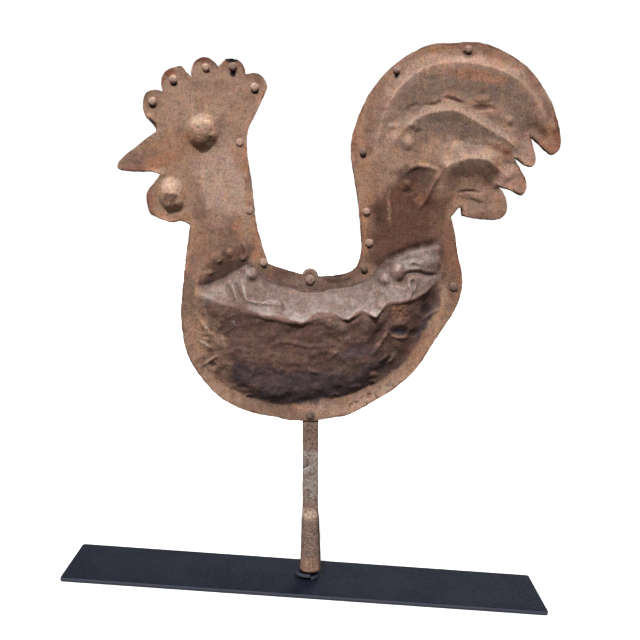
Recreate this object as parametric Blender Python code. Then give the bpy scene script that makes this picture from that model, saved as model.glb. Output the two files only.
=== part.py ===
"""Antique sheet-iron rooster weather vane on a flat steel display base.

Lengths are in millimetres and are turned into metres when a mesh is made. +Z is up, the head
points to -X and the tail to +X. The origin is the centre of the base plate's underside.

The vane (socket, strap, two hammered sheets and their rivets) is drawn upright in its own
frame, u towards the tail and v up the stem, and hangs on an empty that leans towards the head:
the worn socket is wider than the pin, so the vane rocks over until the socket's mouth almost
touches the pin. It turns about the upright pin, which is the world's Z axis.
"""

import math

import bmesh
import bpy
import numpy as np
from mathutils import Matrix, Vector
from mathutils.geometry import delaunay_2d_cdt

MM = 0.001
FIT = 0.3                       # gap between faces that touch on the real object

# Base plate and what stands on it
PLATE_LENGTH = 508.0
PLATE_WIDTH = 101.6
PLATE_THICK = 4.76
PLATE_EDGE_ROUND = 1.0
PIN_RADIUS = 3.2
PIN_FOOT_Z = 1.6
PIN_HOLE_FLOOR_Z = 1.3
PIN_TIP_Z = 64.0
PIN_SIDES = 20
WELD_RADIUS = 4.8
WELD_HEIGHT = 1.9
RING_CENTRE_X = 1.6
RING_INNER = 6.9
RING_OUTER = 12.4
RING_HEIGHT = 4.0
RING_RISE = 2.4
RING_SPLIT_ANGLE = math.radians(-72.0)
RING_SPLIT_GAP = math.radians(9.0)

# The leaning vane: where its frame sits, and its stem
PIVOT_Z = 78.9
LEAN = math.radians(4.25)
SOCKET_MOUTH = -66.3
SOCKET_MOUTH_RADIUS = 11.3
SOCKET_MOUTH_BORE = 8.6
SOCKET_SHOULDER = -9.5
SOCKET_SHOULDER_RADIUS = 9.5
SOCKET_TOP = -5.5
SOCKET_TOP_RADIUS = 8.0
SOCKET_BORE_END = -13.5
SOCKET_BORE_END_RADIUS = 6.0
SOCKET_SIDES = 28
STRAP_CENTRE = 0.2
STRAP_WIDTH = 16.7
STRAP_THICK = 4.76
STRAP_TOP = 260.7

# The two hammered sheets
SHEET = 1.2
SHEET_GRID = 10.0
EDGE_STEP = 6.5
REAR_SHIFT = (-0.6, -0.9)       # the rear sheet sits a little lower and nearer the head
BODY_DEPTH = 23.0               # how far the breast is hammered out
BODY_DEPTH_LOW = 13.0           # and near its lower edge
BODY_RIDGE = 208.0              # height of the fullest line of the breast
BODY_ROUND = 14.0
TAIL_DEPTH = 7.0
TAIL_ROUND = 12.0
FEATHER_HEIGHT = 3.0
FEATHER_WIDTH = 9.0
CHANNEL_INNER = 9.4             # half width of the flat that goes over the strap
CHANNEL_OUTER = 22.0
SEAT_INNER = 6.5                # flat under a rivet's head
SEAT_OUTER = 12.0

# Rivets
SHANK = 2.4
TAIL_UPSET = 3.9
TAIL_UPSET_RISE = 1.7
RIVET_SIDES = 12
HOLE_SIDES = 8

# The outline as drawn stretches, each one smooth, with a corner where two of them meet.
# It starts where the neck meets the back and runs round the head first.
NAPE = [(-43.3, 266), (-50, 287), (-55.5, 309), (-59.6, 348), (-63.3, 372), (-64.6, 392),
        (-63, 404), (-54.7, 421), (-45, 441.4), (-43.3, 447), (-45.5, 454), (-51, 459),
        (-58, 460.6), (-65.1, 459.3)]
COMB_FOUR = [(-65.1, 459.3), (-66.5, 465.8), (-70.5, 472), (-76, 475.4), (-82, 475.8),
             (-87.5, 472), (-92.9, 466.7)]
COMB_THREE = [(-92.9, 466.7), (-97, 471.8), (-102.5, 475.5), (-109, 476.2), (-115.5, 473),
              (-119.3, 467.5), (-120.4, 460.5), (-119, 456.3)]
COMB_TWO = [(-119, 456.3), (-124.5, 460.5), (-128.7, 465.7), (-131.3, 467.6), (-136, 466.5),
            (-144, 464), (-149.3, 459.5), (-151.2, 453), (-149.6, 442)]
COMB_ONE = [(-149.6, 442), (-155, 443.5), (-162, 443.2), (-167.2, 440.8), (-169.8, 434),
            (-170, 425), (-167.6, 417.7), (-161.5, 411.2), (-157.6, 406), (-156.4, 402.6)]
BEAK = [(-156.4, 402.6), (-166, 396), (-181.7, 384.1), (-192, 376.3), (-197, 370.5),
        (-198.3, 366.5), (-196, 364.2), (-182.7, 362), (-162, 361.6), (-154, 358.8)]
WATTLE = [(-154, 358.8), (-158, 353), (-164, 346), (-168, 340), (-169, 334), (-167.3, 324),
          (-165, 319), (-159, 315.2), (-150, 311.3), (-141, 309.8), (-133, 310.8),
          (-124.3, 307)]
BREAST = [(-124.3, 307), (-126.3, 293.4), (-129.1, 273.6), (-131.6, 252), (-134.4, 228),
          (-135.4, 212), (-134.4, 198), (-132.2, 182), (-127.5, 167), (-120.3, 153.7),
          (-110, 139.5), (-97.2, 126.2), (-80, 115.2), (-60, 107.7), (-36, 103.2),
          (-24, 100), (-8, 99.4), (8.4, 99.8), (22, 102), (40, 105.2), (52, 111), (64, 118),
          (85.4, 130.6), (100, 142.5), (114, 157), (126, 176), (138, 195), (149.2, 212),
          (156, 226.5), (159.4, 243), (158.6, 257.5), (155.3, 270), (153, 283),
          (151, 295), (148.6, 307), (146.5, 314)]
TAIL_NOTCH = [(146.5, 314), (151.7, 320.7), (156.4, 324.6), (158.3, 316.3)]
FEATHER_FOUR = [(158.3, 316.3), (170.8, 313.4), (183, 312), (193.3, 312), (199.8, 313.8),
                (203.6, 319), (204.4, 326), (202.5, 334.5), (199, 341), (194.2, 346.4)]
FEATHER_THREE = [(194.2, 346.4), (205.5, 343.2), (213.5, 339.5), (219.3, 337.1),
                 (222.4, 339.3), (224.2, 346), (222.8, 353), (218.5, 361), (209.8, 376)]
FEATHER_TWO = [(209.8, 376), (216, 372.5), (222, 368.2), (228, 366.4), (232, 368),
               (232.8, 373.5), (231, 382), (226.3, 397.3)]
FEATHER_ONE = [(226.3, 397.3), (235, 390), (243, 382.5), (249.7, 378.4), (255, 381),
               (258.1, 388), (257.2, 400), (253.1, 416), (247, 432), (238.5, 446),
               (229.5, 458.5), (218.5, 469), (205, 478), (190, 485.3), (173, 490.5),
               (160, 491), (146, 489.9), (130, 489.8), (117, 486.6), (100, 478.2),
               (86, 468.3), (73, 455.6), (61.5, 440.3), (52.5, 422.5), (46.5, 405.5),
               (43.2, 391), (43.2, 377), (46, 357.5), (49.3, 338), (51.8, 318),
               (53.2, 299), (54.1, 281.5), (52.2, 271), (48.7, 262.8), (43, 258.2),
               (36, 255.8), (26, 254), (10, 253), (-9.3, 255.5), (-20, 258.2),
               (-33.3, 262.5), (-43.3, 266)]
OUTLINE = [NAPE, COMB_FOUR, COMB_THREE, COMB_TWO, COMB_ONE, BEAK, WATTLE, BREAST, TAIL_NOTCH,
           FEATHER_FOUR, FEATHER_THREE, FEATHER_TWO, FEATHER_ONE]

# Edges of the two hammered-out areas, and the crests of the tail's long feathers
BODY_SWELL = [(-72, 126), (-32, 115), (10, 118), (55, 128), (95, 152), (122, 186),
              (136, 222), (134, 262), (96, 262), (50, 246), (0, 243), (-48, 250),
              (-86, 258), (-118, 240), (-122, 205), (-110, 160)]
TAIL_SWELL = [(70, 262), (64, 300), (60, 340), (56, 385), (68, 424), (92, 452), (128, 472), (170, 474),
              (208, 458), (232, 428), (240, 402), (222, 400), (205, 372), (190, 352),
              (180, 326), (150, 334), (138, 308), (135, 280), (128, 254), (98, 246)]
FEATHER_CRESTS = [
    [(72, 385), (84, 425), (112, 455), (150, 468), (190, 460), (222, 432), (240, 398)],
    [(82, 372), (98, 405), (126, 425), (158, 424), (192, 408), (222, 378)],
    [(104, 362), (128, 376), (156, 384), (186, 376), (212, 350)],
    [(112, 322), (132, 352), (158, 362), (184, 350), (196, 332)],
]
EYE = ((-110.0, 402.0), (16.5, 18.0), 12.0)
WATTLE_DOME = ((-142.0, 337.0), (13.0, 17.0), 8.5)

# Rivets: name, place, head radius, head height
RIVETS = [
    ("comb_rivet_1", (-160.6, 432.0), 4.5, 3.2),
    ("comb_rivet_2", (-138.9, 454.2), 4.3, 3.2),
    ("comb_rivet_3", (-105.8, 466.0), 4.0, 2.4),
    ("comb_rivet_4", (-77.9, 466.6), 4.3, 3.0),
    ("comb_rivet_5", (-55.9, 446.0), 4.6, 3.0),
    ("neck_rivet_upper", (-71.8, 390.4), 3.5, 1.6),
    ("neck_rivet_lower", (-62.5, 320.5), 3.6, 0.9),
    ("back_corner_rivet", (-48.2, 266.8), 4.3, 2.6),
    ("strap_rivet_top", (0.3, 249.0), 5.2, 2.8),
    ("strap_rivet_bottom", (0.2, 105.0), 4.6, 1.2),
    ("tail_rivet_1", (56.8, 260.0), 3.7, 2.6),
    ("tail_rivet_2", (61.8, 287.3), 4.3, 2.4),
    ("tail_rivet_3", (59.0, 319.5), 3.4, 2.6),
    ("tail_rivet_4", (55.0, 380.5), 3.3, 2.4),
    ("tail_rim_rivet_1", (88.9, 463.3), 3.6, 2.8),
    ("tail_rim_rivet_2", (161.8, 483.6), 3.7, 2.6),
    ("rear_edge_rivet", (149.9, 241.2), 4.6, 1.6),
]

RUST = (0.30, 0.19, 0.13)
DARK_IRON = (0.10, 0.08, 0.075)
STRAP_GREY = (0.30, 0.25, 0.22)
RIVET_TAN = (0.42, 0.28, 0.19)
BLACK_PAINT = (0.030, 0.034, 0.045)
BARE_STEEL = (0.45, 0.44, 0.43)


def clear_scene():
    for item in list(bpy.data.objects):
        bpy.data.objects.remove(item, do_unlink=True)


def metal(name, colour, roughness, metallic):
    made = bpy.data.materials.new(name)
    made.use_nodes = True
    shader = made.node_tree.nodes["Principled BSDF"]
    shader.inputs["Base Color"].default_value = (*colour, 1.0)
    shader.inputs["Roughness"].default_value = roughness
    shader.inputs["Metallic"].default_value = metallic
    return made


def add_object(name, bm, material, parent=None, smooth_angle=None):
    """Make one named object from a bmesh in millimetres."""
    bmesh.ops.transform(bm, matrix=Matrix.Scale(MM, 4), verts=bm.verts)
    bmesh.ops.recalc_face_normals(bm, faces=bm.faces)
    mesh = bpy.data.meshes.new(name)
    bm.to_mesh(mesh)
    bm.free()
    if smooth_angle is not None:
        mesh.shade_smooth()
        mesh.set_sharp_from_angle(angle=math.radians(smooth_angle))
    mesh.materials.append(material)
    made = bpy.data.objects.new(name, mesh)
    bpy.context.scene.collection.objects.link(made)
    made.parent = parent
    return made


# ---------------------------------------------------------------- curves and areas

def smooth_stretch(points, step):
    """Points about one step apart on a smooth curve through the drawn points."""
    pts = [np.array(p, float) for p in points]
    first = 2 * pts[0] - pts[1]
    last = 2 * pts[-1] - pts[-2]
    ring = [first, *pts, last]
    out = []
    for a, b, c, d in zip(ring, ring[1:], ring[2:], ring[3:]):
        count = max(1, round(float(np.linalg.norm(c - b)) / step))
        knots = np.cumsum([0.0] + [math.sqrt(np.linalg.norm(q - p)) for p, q in
                                   ((a, b), (b, c), (c, d))])
        for k in range(count):
            t = knots[1] + (knots[2] - knots[1]) * k / count
            out.append(centripetal(a, b, c, d, knots, t))
    return out


def centripetal(a, b, c, d, knots, t):
    """One point of the centripetal Catmull-Rom curve between b and c."""
    def blend(p, q, lo, hi):
        return ((hi - t) * p + (t - lo) * q) / (hi - lo)
    ab = blend(a, b, knots[0], knots[1])
    bc = blend(b, c, knots[1], knots[2])
    cd = blend(c, d, knots[2], knots[3])
    abc = blend(ab, bc, knots[0], knots[2])
    bcd = blend(bc, cd, knots[1], knots[3])
    return blend(abc, bcd, knots[1], knots[2])


def rooster_outline(step):
    loop = []
    for stretch in OUTLINE:
        loop.extend(smooth_stretch(stretch, step))
    return np.array(loop)


def closed_curve(points, step):
    """A smooth closed curve through a few points."""
    wrapped = [points[-1], *points, points[0], points[1]]
    curve = []
    for i in range(len(points)):
        a, b, c, d = (np.array(p, float) for p in wrapped[i:i + 4])
        knots = np.cumsum([0.0] + [math.sqrt(np.linalg.norm(q - p)) for p, q in
                                   ((a, b), (b, c), (c, d))])
        count = max(1, round(float(np.linalg.norm(c - b)) / step))
        for k in range(count):
            t = knots[1] + (knots[2] - knots[1]) * k / count
            curve.append(centripetal(a, b, c, d, knots, t))
    return np.array(curve)


def inside(points, loop):
    """True for each point that lies within the closed loop."""
    x, y = points[:, 0], points[:, 1]
    hit = np.zeros(len(points), bool)
    for (x0, y0), (x1, y1) in zip(loop, np.roll(loop, -1, axis=0)):
        if y0 == y1:
            continue
        crosses = (y0 > y) != (y1 > y)
        hit ^= crosses & (x < (x1 - x0) * (y - y0) / (y1 - y0) + x0)
    return hit


def distance_to(points, chain):
    """Shortest distance from each point to a chain of straight pieces."""
    best = np.full(len(points), 1e9)
    for start, end in zip(chain, chain[1:]):
        along = end - start
        t = np.clip((points - start) @ along / (along @ along), 0.0, 1.0)
        best = np.minimum(best, np.linalg.norm(points - start - t[:, None] * along, axis=1))
    return best


def depth_within(points, loop):
    """Distance to a closed loop, positive inside it and zero outside."""
    closed = np.vstack([loop, loop[:1]])
    return np.where(inside(points, loop), distance_to(points, closed), 0.0)


def ramp(value, low, high):
    """Smooth step from 0 at low to 1 at high."""
    t = np.clip((value - low) / (high - low), 0.0, 1.0)
    return t * t * (3 - 2 * t)


# ---------------------------------------------------------------- the hammered relief

def swell(depth, rounding):
    """Rounded rise from 0 at an area's edge towards 1 well inside it."""
    return 1.0 - np.exp(-(depth / rounding) ** 1.4)


def dome(points, centre, radii, height):
    q = ((points - np.array(centre)) / np.array(radii)) ** 2
    return height * np.clip(1.0 - q.sum(axis=1), 0.0, 1.0) ** 0.7


def body_relief(points):
    """The breast: fullest along its ridge, and flatter towards the lower edge."""
    depth = depth_within(points, closed_curve(BODY_SWELL, SHEET_GRID))
    low = np.clip((BODY_RIDGE - points[:, 1]) / (BODY_RIDGE - 115.0), 0.0, 1.0)
    return swell(depth, BODY_ROUND) * (BODY_DEPTH + (BODY_DEPTH_LOW - BODY_DEPTH) * low)


def tail_relief(points):
    depth = depth_within(points, closed_curve(TAIL_SWELL, SHEET_GRID))
    height = TAIL_DEPTH * swell(depth, TAIL_ROUND)
    for crest in FEATHER_CRESTS:
        away = distance_to(points, np.array(smooth_stretch(crest, SHEET_GRID)))
        height += FEATHER_HEIGHT * np.exp(-(away / FEATHER_WIDTH) ** 2) * (depth > 0)
    return height


def strap_channel(points):
    """Flat rise that takes the sheet over the strap."""
    rise = STRAP_THICK / 2 + FIT - FIT / 2
    across = np.abs(points[:, 0] - STRAP_CENTRE)
    return rise * (1.0 - ramp(across, CHANNEL_INNER, CHANNEL_OUTER)) * (points[:, 1] < 300)


def relief(points):
    """How far the sheet stands out from the flange, for each (u, v)."""
    height = np.maximum(body_relief(points), tail_relief(points))
    height += dome(points, *EYE) + dome(points, *WATTLE_DOME)
    channel = strap_channel(points)
    height = np.maximum(height, channel)
    for _, place, _, _ in RIVETS:
        away = np.linalg.norm(points - np.array(place), axis=1)
        height = channel + (height - channel) * ramp(away, SEAT_INNER, SEAT_OUTER)
    return height


# ---------------------------------------------------------------- sheets

def ring_points(centre, radius, sides, turn=0.0):
    angles = turn + 2 * math.pi * np.arange(sides) / sides
    return np.array(centre) + radius * np.column_stack([np.cos(angles), np.sin(angles)])


def dome_points(centre, radii):
    """Rings of points that carry a hammered dome's round shape."""
    rings = [np.array([centre])]
    for share, sides in ((0.35, 6), (0.7, 10), (1.0, 14)):
        rings.append(np.array(centre) + (ring_points((0, 0), share, sides) * np.array(radii)))
    return np.vstack(rings)


def grid_points(loop, edge):
    """Staggered points inside the outline, with straight columns beside the strap."""
    low, high = loop.min(axis=0), loop.max(axis=0)
    found = []
    for row, v in enumerate(np.arange(low[1], high[1], SHEET_GRID * 0.87)):
        shift = SHEET_GRID / 2 * (row % 2)
        us = list(np.arange(low[0] + shift, high[0], SHEET_GRID))
        if v < STRAP_TOP:
            clear = CHANNEL_OUTER + SHEET_GRID * 0.4
            us = [u for u in us if abs(u - STRAP_CENTRE) > clear]
            sides = (-CHANNEL_OUTER, -CHANNEL_INNER, 0.0, CHANNEL_INNER, CHANNEL_OUTER)
            us.extend(STRAP_CENTRE + s for s in sides)
        found.extend((u, v) for u in us)
    found = np.array(found)
    found = found[inside(found, loop)]
    found = found[distance_to(found, np.vstack([loop, loop[:1]])) > edge * 0.55]
    for _, place, _, _ in RIVETS:
        found = found[np.linalg.norm(found - np.array(place), axis=1) > SEAT_INNER + 3.0]
    for centre, radii, _ in (EYE, WATTLE_DOME):
        share = np.linalg.norm((found - np.array(centre)) / np.array(radii), axis=1)
        found = np.vstack([found[share > 1.25], dome_points(centre, radii)])
    return found


def sheet_plan(shift):
    """Vertices and triangles of the flat sheet, with its rivet holes."""
    loop = rooster_outline(EDGE_STEP) + np.array(shift)
    loops = [loop]
    for _, place, _, _ in RIVETS:
        loops.append(ring_points(place, SHANK + FIT, HOLE_SIDES))
    loose = [grid_points(loop, SHEET_GRID)]
    for _, place, _, _ in RIVETS:
        seat = ring_points(place, SEAT_INNER, HOLE_SIDES, math.pi / HOLE_SIDES)
        near_edge = distance_to(seat, np.vstack([loop, loop[:1]])) < 1.5
        loose.append(seat[inside(seat, loop) & ~near_edge])
    edges = []
    start = 0
    for ring in loops:
        count = len(ring)
        edges.extend((start + i, start + (i + 1) % count) for i in range(count))
        start += count
    plan = [Vector(p) for p in np.vstack(loops + loose)]
    verts, _, faces, _, _, _ = delaunay_2d_cdt(plan, edges, [], 1, 1e-4)
    verts = np.array([tuple(v) for v in verts])
    centres = np.array([verts[list(f)].mean(axis=0) for f in faces])
    keep = inside(centres, loop)
    for ring in loops[1:]:
        keep &= ~inside(centres, ring)
    return verts, [f for f, kept in zip(faces, keep) if kept]


def sheet_body(side, shift):
    """One hammered half as a closed shell; side is -1 in front and +1 behind."""
    plan, faces = sheet_plan(shift)
    height = relief(plan) + FIT / 2
    bm = bmesh.new()
    inner = [bm.verts.new((u, side * h, v)) for (u, v), h in zip(plan, height)]
    outer = [bm.verts.new((u, side * (h + SHEET), v)) for (u, v), h in zip(plan, height)]
    walls = {}
    for face in faces:
        bm.faces.new([outer[i] for i in face])
        bm.faces.new([inner[i] for i in reversed(face)])
        for a, b in zip(face, face[1:] + face[:1]):
            if (b, a) in walls:
                del walls[(b, a)]
            else:
                walls[(a, b)] = True
    for a, b in walls:
        bm.faces.new([outer[b], outer[a], inner[a], inner[b]])
    loose = [v for v in bm.verts if not v.link_faces]
    bmesh.ops.delete(bm, geom=loose, context="VERTS")
    bmesh.ops.triangulate(bm, faces=bm.faces)
    return bm


# ---------------------------------------------------------------- turned and plain pieces

def turned(profile, sides):
    """A solid turned about Z from (radius, height) points that start and end on the axis."""
    bm = bmesh.new()
    rings = []
    for radius, height in profile:
        if radius == 0:
            rings.append([bm.verts.new((0, 0, height))])
            continue
        angles = [2 * math.pi * i / sides for i in range(sides)]
        rings.append([bm.verts.new((radius * math.cos(a), radius * math.sin(a), height))
                      for a in angles])
    for low, high in zip(rings, rings[1:]):
        for i in range(sides):
            j = (i + 1) % sides
            quad = [low[i % len(low)], low[j % len(low)], high[j % len(high)],
                    high[i % len(high)]]
            bm.faces.new(list(dict.fromkeys(quad)))
    return bm


def rivet_profile(head, rise, seat):
    """Domed head in front, shank through the sheets, upset tail behind, along Z."""
    face = seat + SHEET + FIT * 1.5
    back = -(seat + SHEET + FIT * 1.5)
    return [(0, face + rise), (head * 0.55, face + rise * 0.88), (head * 0.88, face + rise * 0.5),
            (head, face + rise * 0.12), (head * 0.97, face), (SHANK, face), (SHANK, back),
            (TAIL_UPSET, back), (TAIL_UPSET, back - TAIL_UPSET_RISE * 0.5),
            (TAIL_UPSET * 0.6, back - TAIL_UPSET_RISE), (0, back - TAIL_UPSET_RISE)]


def add_rivet(name, place, head, rise, material, parent):
    seat = float(strap_channel(np.array([place]))[0])
    bm = turned(rivet_profile(head, rise, seat), RIVET_SIDES)
    bmesh.ops.rotate(bm, matrix=Matrix.Rotation(math.pi / 2, 3, "X"), verts=bm.verts)
    made = add_object(name, bm, material, parent, smooth_angle=50)
    made.location = (place[0] * MM, 0.0, place[1] * MM)


def add_base_plate(material):
    bm = bmesh.new()
    bmesh.ops.create_cube(bm, size=1.0)
    size = (PLATE_LENGTH, PLATE_WIDTH, PLATE_THICK)
    bmesh.ops.scale(bm, vec=size, verts=bm.verts)
    bmesh.ops.translate(bm, vec=(0, 0, PLATE_THICK / 2), verts=bm.verts)
    plate = add_object("base_plate", bm, material)
    hole_radius = PIN_RADIUS + FIT
    above = PLATE_THICK + 3.0
    cutter_mesh = turned([(0, PIN_HOLE_FLOOR_Z), (hole_radius, PIN_HOLE_FLOOR_Z),
                          (hole_radius, above), (0, above)], PIN_SIDES)
    cutter = add_object("pin_hole_cutter", cutter_mesh, material)
    cutter.hide_render = True
    cutter.display_type = "WIRE"
    rounding = plate.modifiers.new("edge_round", "BEVEL")
    rounding.width = PLATE_EDGE_ROUND * MM
    rounding.segments = 2
    hole = plate.modifiers.new("pin_hole", "BOOLEAN")
    hole.operation = "DIFFERENCE"
    hole.solver = "EXACT"
    hole.object = cutter


def add_pin(material):
    tip = PIN_TIP_Z - PIN_RADIUS
    bm = turned([(0, PIN_FOOT_Z), (PIN_RADIUS, PIN_FOOT_Z), (PIN_RADIUS, tip),
                 (PIN_RADIUS * 0.87, tip + PIN_RADIUS * 0.5),
                 (PIN_RADIUS * 0.5, tip + PIN_RADIUS * 0.87), (0, PIN_TIP_Z)], PIN_SIDES)
    add_object("pivot_pin", bm, material, smooth_angle=50)


def add_weld(material):
    """Fillet of weld round the pin's foot."""
    floor = PLATE_THICK + FIT
    inner = PIN_RADIUS + FIT
    bm = bmesh.new()
    section = [(inner, floor), (WELD_RADIUS, floor), (WELD_RADIUS - 0.3, floor + 0.8),
               (inner + 0.3, floor + WELD_HEIGHT), (inner, floor + WELD_HEIGHT)]
    sweep_ring(bm, section, 0.0, 2 * math.pi, PIN_SIDES, 0.0, closed=True)
    add_object("weld_bead", bm, material, smooth_angle=50)


def sweep_ring(bm, section, start, end, steps, rise, closed):
    """Sweep a (radius, height) section about Z from one angle to another while it rises."""
    rings = []
    count = steps if closed else steps + 1
    for k in range(count):
        angle = start + (end - start) * k / steps
        lift = rise * k / steps
        rings.append([bm.verts.new((r * math.cos(angle), r * math.sin(angle), z + lift))
                      for r, z in section])
    pairs = list(zip(rings, rings[1:]))
    if closed:
        pairs.append((rings[-1], rings[0]))
    else:
        bm.faces.new(rings[0])
        bm.faces.new(rings[-1])
    corners = len(section)
    for low, high in pairs:
        for i in range(corners):
            j = (i + 1) % corners
            bm.faces.new([low[i], low[j], high[j], high[i]])


def add_split_ring(material):
    """Heavy split spring ring lying round the pin's foot, one end higher than the other."""
    floor = PLATE_THICK + FIT
    top = floor + RING_HEIGHT
    section = [(RING_INNER, floor), (RING_OUTER - 0.8, floor), (RING_OUTER, floor + 0.8),
               (RING_OUTER, top - 0.8), (RING_OUTER - 0.8, top), (RING_INNER, top)]
    bm = bmesh.new()
    start = RING_SPLIT_ANGLE + RING_SPLIT_GAP / 2
    end = RING_SPLIT_ANGLE + 2 * math.pi - RING_SPLIT_GAP / 2
    sweep_ring(bm, section, start, end, 36, RING_RISE, closed=False)
    made = add_object("split_ring", bm, material, smooth_angle=40)
    made.location.x = RING_CENTRE_X * MM


def add_socket(material, parent):
    """Tapered forged socket, closed at the top, open at the mouth."""
    profile = [(0, SOCKET_TOP), (SOCKET_TOP_RADIUS, SOCKET_TOP),
               (SOCKET_SHOULDER_RADIUS, SOCKET_SHOULDER),
               (SOCKET_MOUTH_RADIUS, SOCKET_MOUTH + 3.0),
               (SOCKET_MOUTH_RADIUS - 0.5, SOCKET_MOUTH),
               (SOCKET_MOUTH_BORE, SOCKET_MOUTH),
               (SOCKET_BORE_END_RADIUS, SOCKET_BORE_END - 2.0),
               (SOCKET_BORE_END_RADIUS * 0.6, SOCKET_BORE_END), (0, SOCKET_BORE_END)]
    add_object("stem_socket", turned(profile, SOCKET_SIDES), material, parent,
               smooth_angle=35)


def add_strap(material, parent):
    """Flat iron bar with a rounded top end, drilled for its two rivets."""
    half = STRAP_WIDTH / 2
    low = SOCKET_TOP + FIT
    shoulder = STRAP_TOP - half
    outline = [(STRAP_CENTRE - half, low), (STRAP_CENTRE + half, low)]
    arc_points = 12
    for k in range(arc_points + 1):
        angle = math.pi * k / arc_points
        outline.append((STRAP_CENTRE + half * math.cos(angle),
                        shoulder + half * math.sin(angle)))
    bm = bmesh.new()
    front = [bm.verts.new((u, -STRAP_THICK / 2, v)) for u, v in outline]
    face = bm.faces.new(front)
    grown = bmesh.ops.extrude_face_region(bm, geom=[face])
    moved = [g for g in grown["geom"] if isinstance(g, bmesh.types.BMVert)]
    bmesh.ops.translate(bm, vec=(0, STRAP_THICK, 0), verts=moved)
    strap = add_object("stem_strap", bm, material, parent)
    for name, place, _, _ in RIVETS:
        if not name.startswith("strap_rivet"):
            continue
        hole = turned([(0, -6), (SHANK + FIT, -6), (SHANK + FIT, 6), (0, 6)], RIVET_SIDES)
        bmesh.ops.rotate(hole, matrix=Matrix.Rotation(math.pi / 2, 3, "X"), verts=hole.verts)
        cutter = add_object(name + "_cutter", hole, material, parent)
        cutter.location = (place[0] * MM, 0.0, place[1] * MM)
        cutter.hide_render = True
        cutter.display_type = "WIRE"
        drilled = strap.modifiers.new(name + "_hole", "BOOLEAN")
        drilled.operation = "DIFFERENCE"
        drilled.solver = "EXACT"
        drilled.object = cutter


def add_vane_frame():
    """Empty that carries the vane, leaning towards the head."""
    frame = bpy.data.objects.new("vane_frame", None)
    bpy.context.scene.collection.objects.link(frame)
    frame.location = (0.0, 0.0, PIVOT_Z * MM)
    frame.rotation_euler = (0.0, -LEAN, 0.0)
    return frame


def build():
    clear_scene()
    paint = metal("black_paint", BLACK_PAINT, 0.55, 0.0)
    steel = metal("bare_steel", BARE_STEEL, 0.45, 0.9)
    rust = metal("rusted_sheet", RUST, 0.75, 0.25)
    stem_iron = metal("stem_iron", STRAP_GREY, 0.80, 0.30)
    rivet_iron = metal("rivet_iron", RIVET_TAN, 0.70, 0.30)
    add_base_plate(paint)
    add_pin(steel)
    add_weld(paint)
    add_split_ring(paint)
    vane = add_vane_frame()
    add_socket(stem_iron, vane)
    add_strap(stem_iron, vane)
    add_object("front_sheet", sheet_body(-1, (0.0, 0.0)), rust, vane, smooth_angle=40)
    add_object("rear_sheet", sheet_body(1, REAR_SHIFT), rust, vane, smooth_angle=40)
    for name, place, head, rise in RIVETS:
        add_rivet(name, place, head, rise, rivet_iron, vane)


build()
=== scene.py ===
import math

import bmesh
import bpy
import numpy as np
from mathutils import Matrix, Vector, kdtree, noise
from mathutils.geometry import delaunay_2d_cdt


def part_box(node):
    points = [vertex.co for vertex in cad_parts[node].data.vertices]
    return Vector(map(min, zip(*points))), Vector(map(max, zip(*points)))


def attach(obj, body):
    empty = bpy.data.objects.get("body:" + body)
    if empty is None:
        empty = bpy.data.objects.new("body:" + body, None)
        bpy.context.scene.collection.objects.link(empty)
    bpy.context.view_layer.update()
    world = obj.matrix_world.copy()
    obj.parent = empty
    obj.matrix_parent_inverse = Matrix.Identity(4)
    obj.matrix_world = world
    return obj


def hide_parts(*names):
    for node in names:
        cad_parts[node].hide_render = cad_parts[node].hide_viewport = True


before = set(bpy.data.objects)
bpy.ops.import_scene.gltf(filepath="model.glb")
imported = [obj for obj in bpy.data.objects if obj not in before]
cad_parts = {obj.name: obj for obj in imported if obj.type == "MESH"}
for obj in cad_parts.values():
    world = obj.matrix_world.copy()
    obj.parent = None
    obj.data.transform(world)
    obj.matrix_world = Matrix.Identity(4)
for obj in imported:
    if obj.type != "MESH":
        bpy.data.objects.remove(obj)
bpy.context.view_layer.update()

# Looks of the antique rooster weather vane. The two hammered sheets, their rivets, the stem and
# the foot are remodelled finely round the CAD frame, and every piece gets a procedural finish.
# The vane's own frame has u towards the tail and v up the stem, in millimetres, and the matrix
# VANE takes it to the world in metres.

MM = 0.001

# Sheets
SHEET = 1.2
HALF_GAP = 0.15                 # half the gap between the two sheets at the flange
EDGE_STEP = 1.5
SKIN_GRID = 1.25
LINING_GRID = 3.2
LINING_DROP = 3.0               # the hidden inner face keeps this clear of the dents
LINING_SHARE = 0.7
DOME_RISE = 7.0                 # bumps higher than this are round domes
REAR_SHIFT = (-0.6, -0.9)
CUT_WAVE = 0.45                 # how much the hand-cut edge wanders
RIVET_HOLE = 2.6
SHARP_ANGLE = math.radians(50)  # edges sharper than this keep a crisp line

# The strap's flat channel and the flat seats under the rivets, as the CAD has them
STRAP_OFFSET = 0.2              # the strap's middle lies this far towards the tail
STRAP_HALF_THICK = 2.38
CHANNEL_INNER = 9.4
CHANNEL_OUTER = 22.0
SEAT_INNER = 6.0
SEAT_OUTER = 11.0

# Breast: full height along a wandering crest, a straight shelf above it and a belly below
BODY_DEPTH = 23.0
CREST_DROP = 0.03
CREST_FALL = 4.0
CREST_LIP = 0.35                # a small bright lip along the crest
BELLY_FALL = 0.77
SHARP_FROM = (-78, -52)         # the crest is soft to the left of these and sharp to the right
FOOT_REACH = 18.0
FOOT_RISE = 6.0                 # how far its lower edge stands out where the dark foot is seen

# ------------------------------------------------------------------ the vane's own frame

CAMERA_PLACE = Vector((-0.0136, -1.034, 0.4114))


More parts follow.
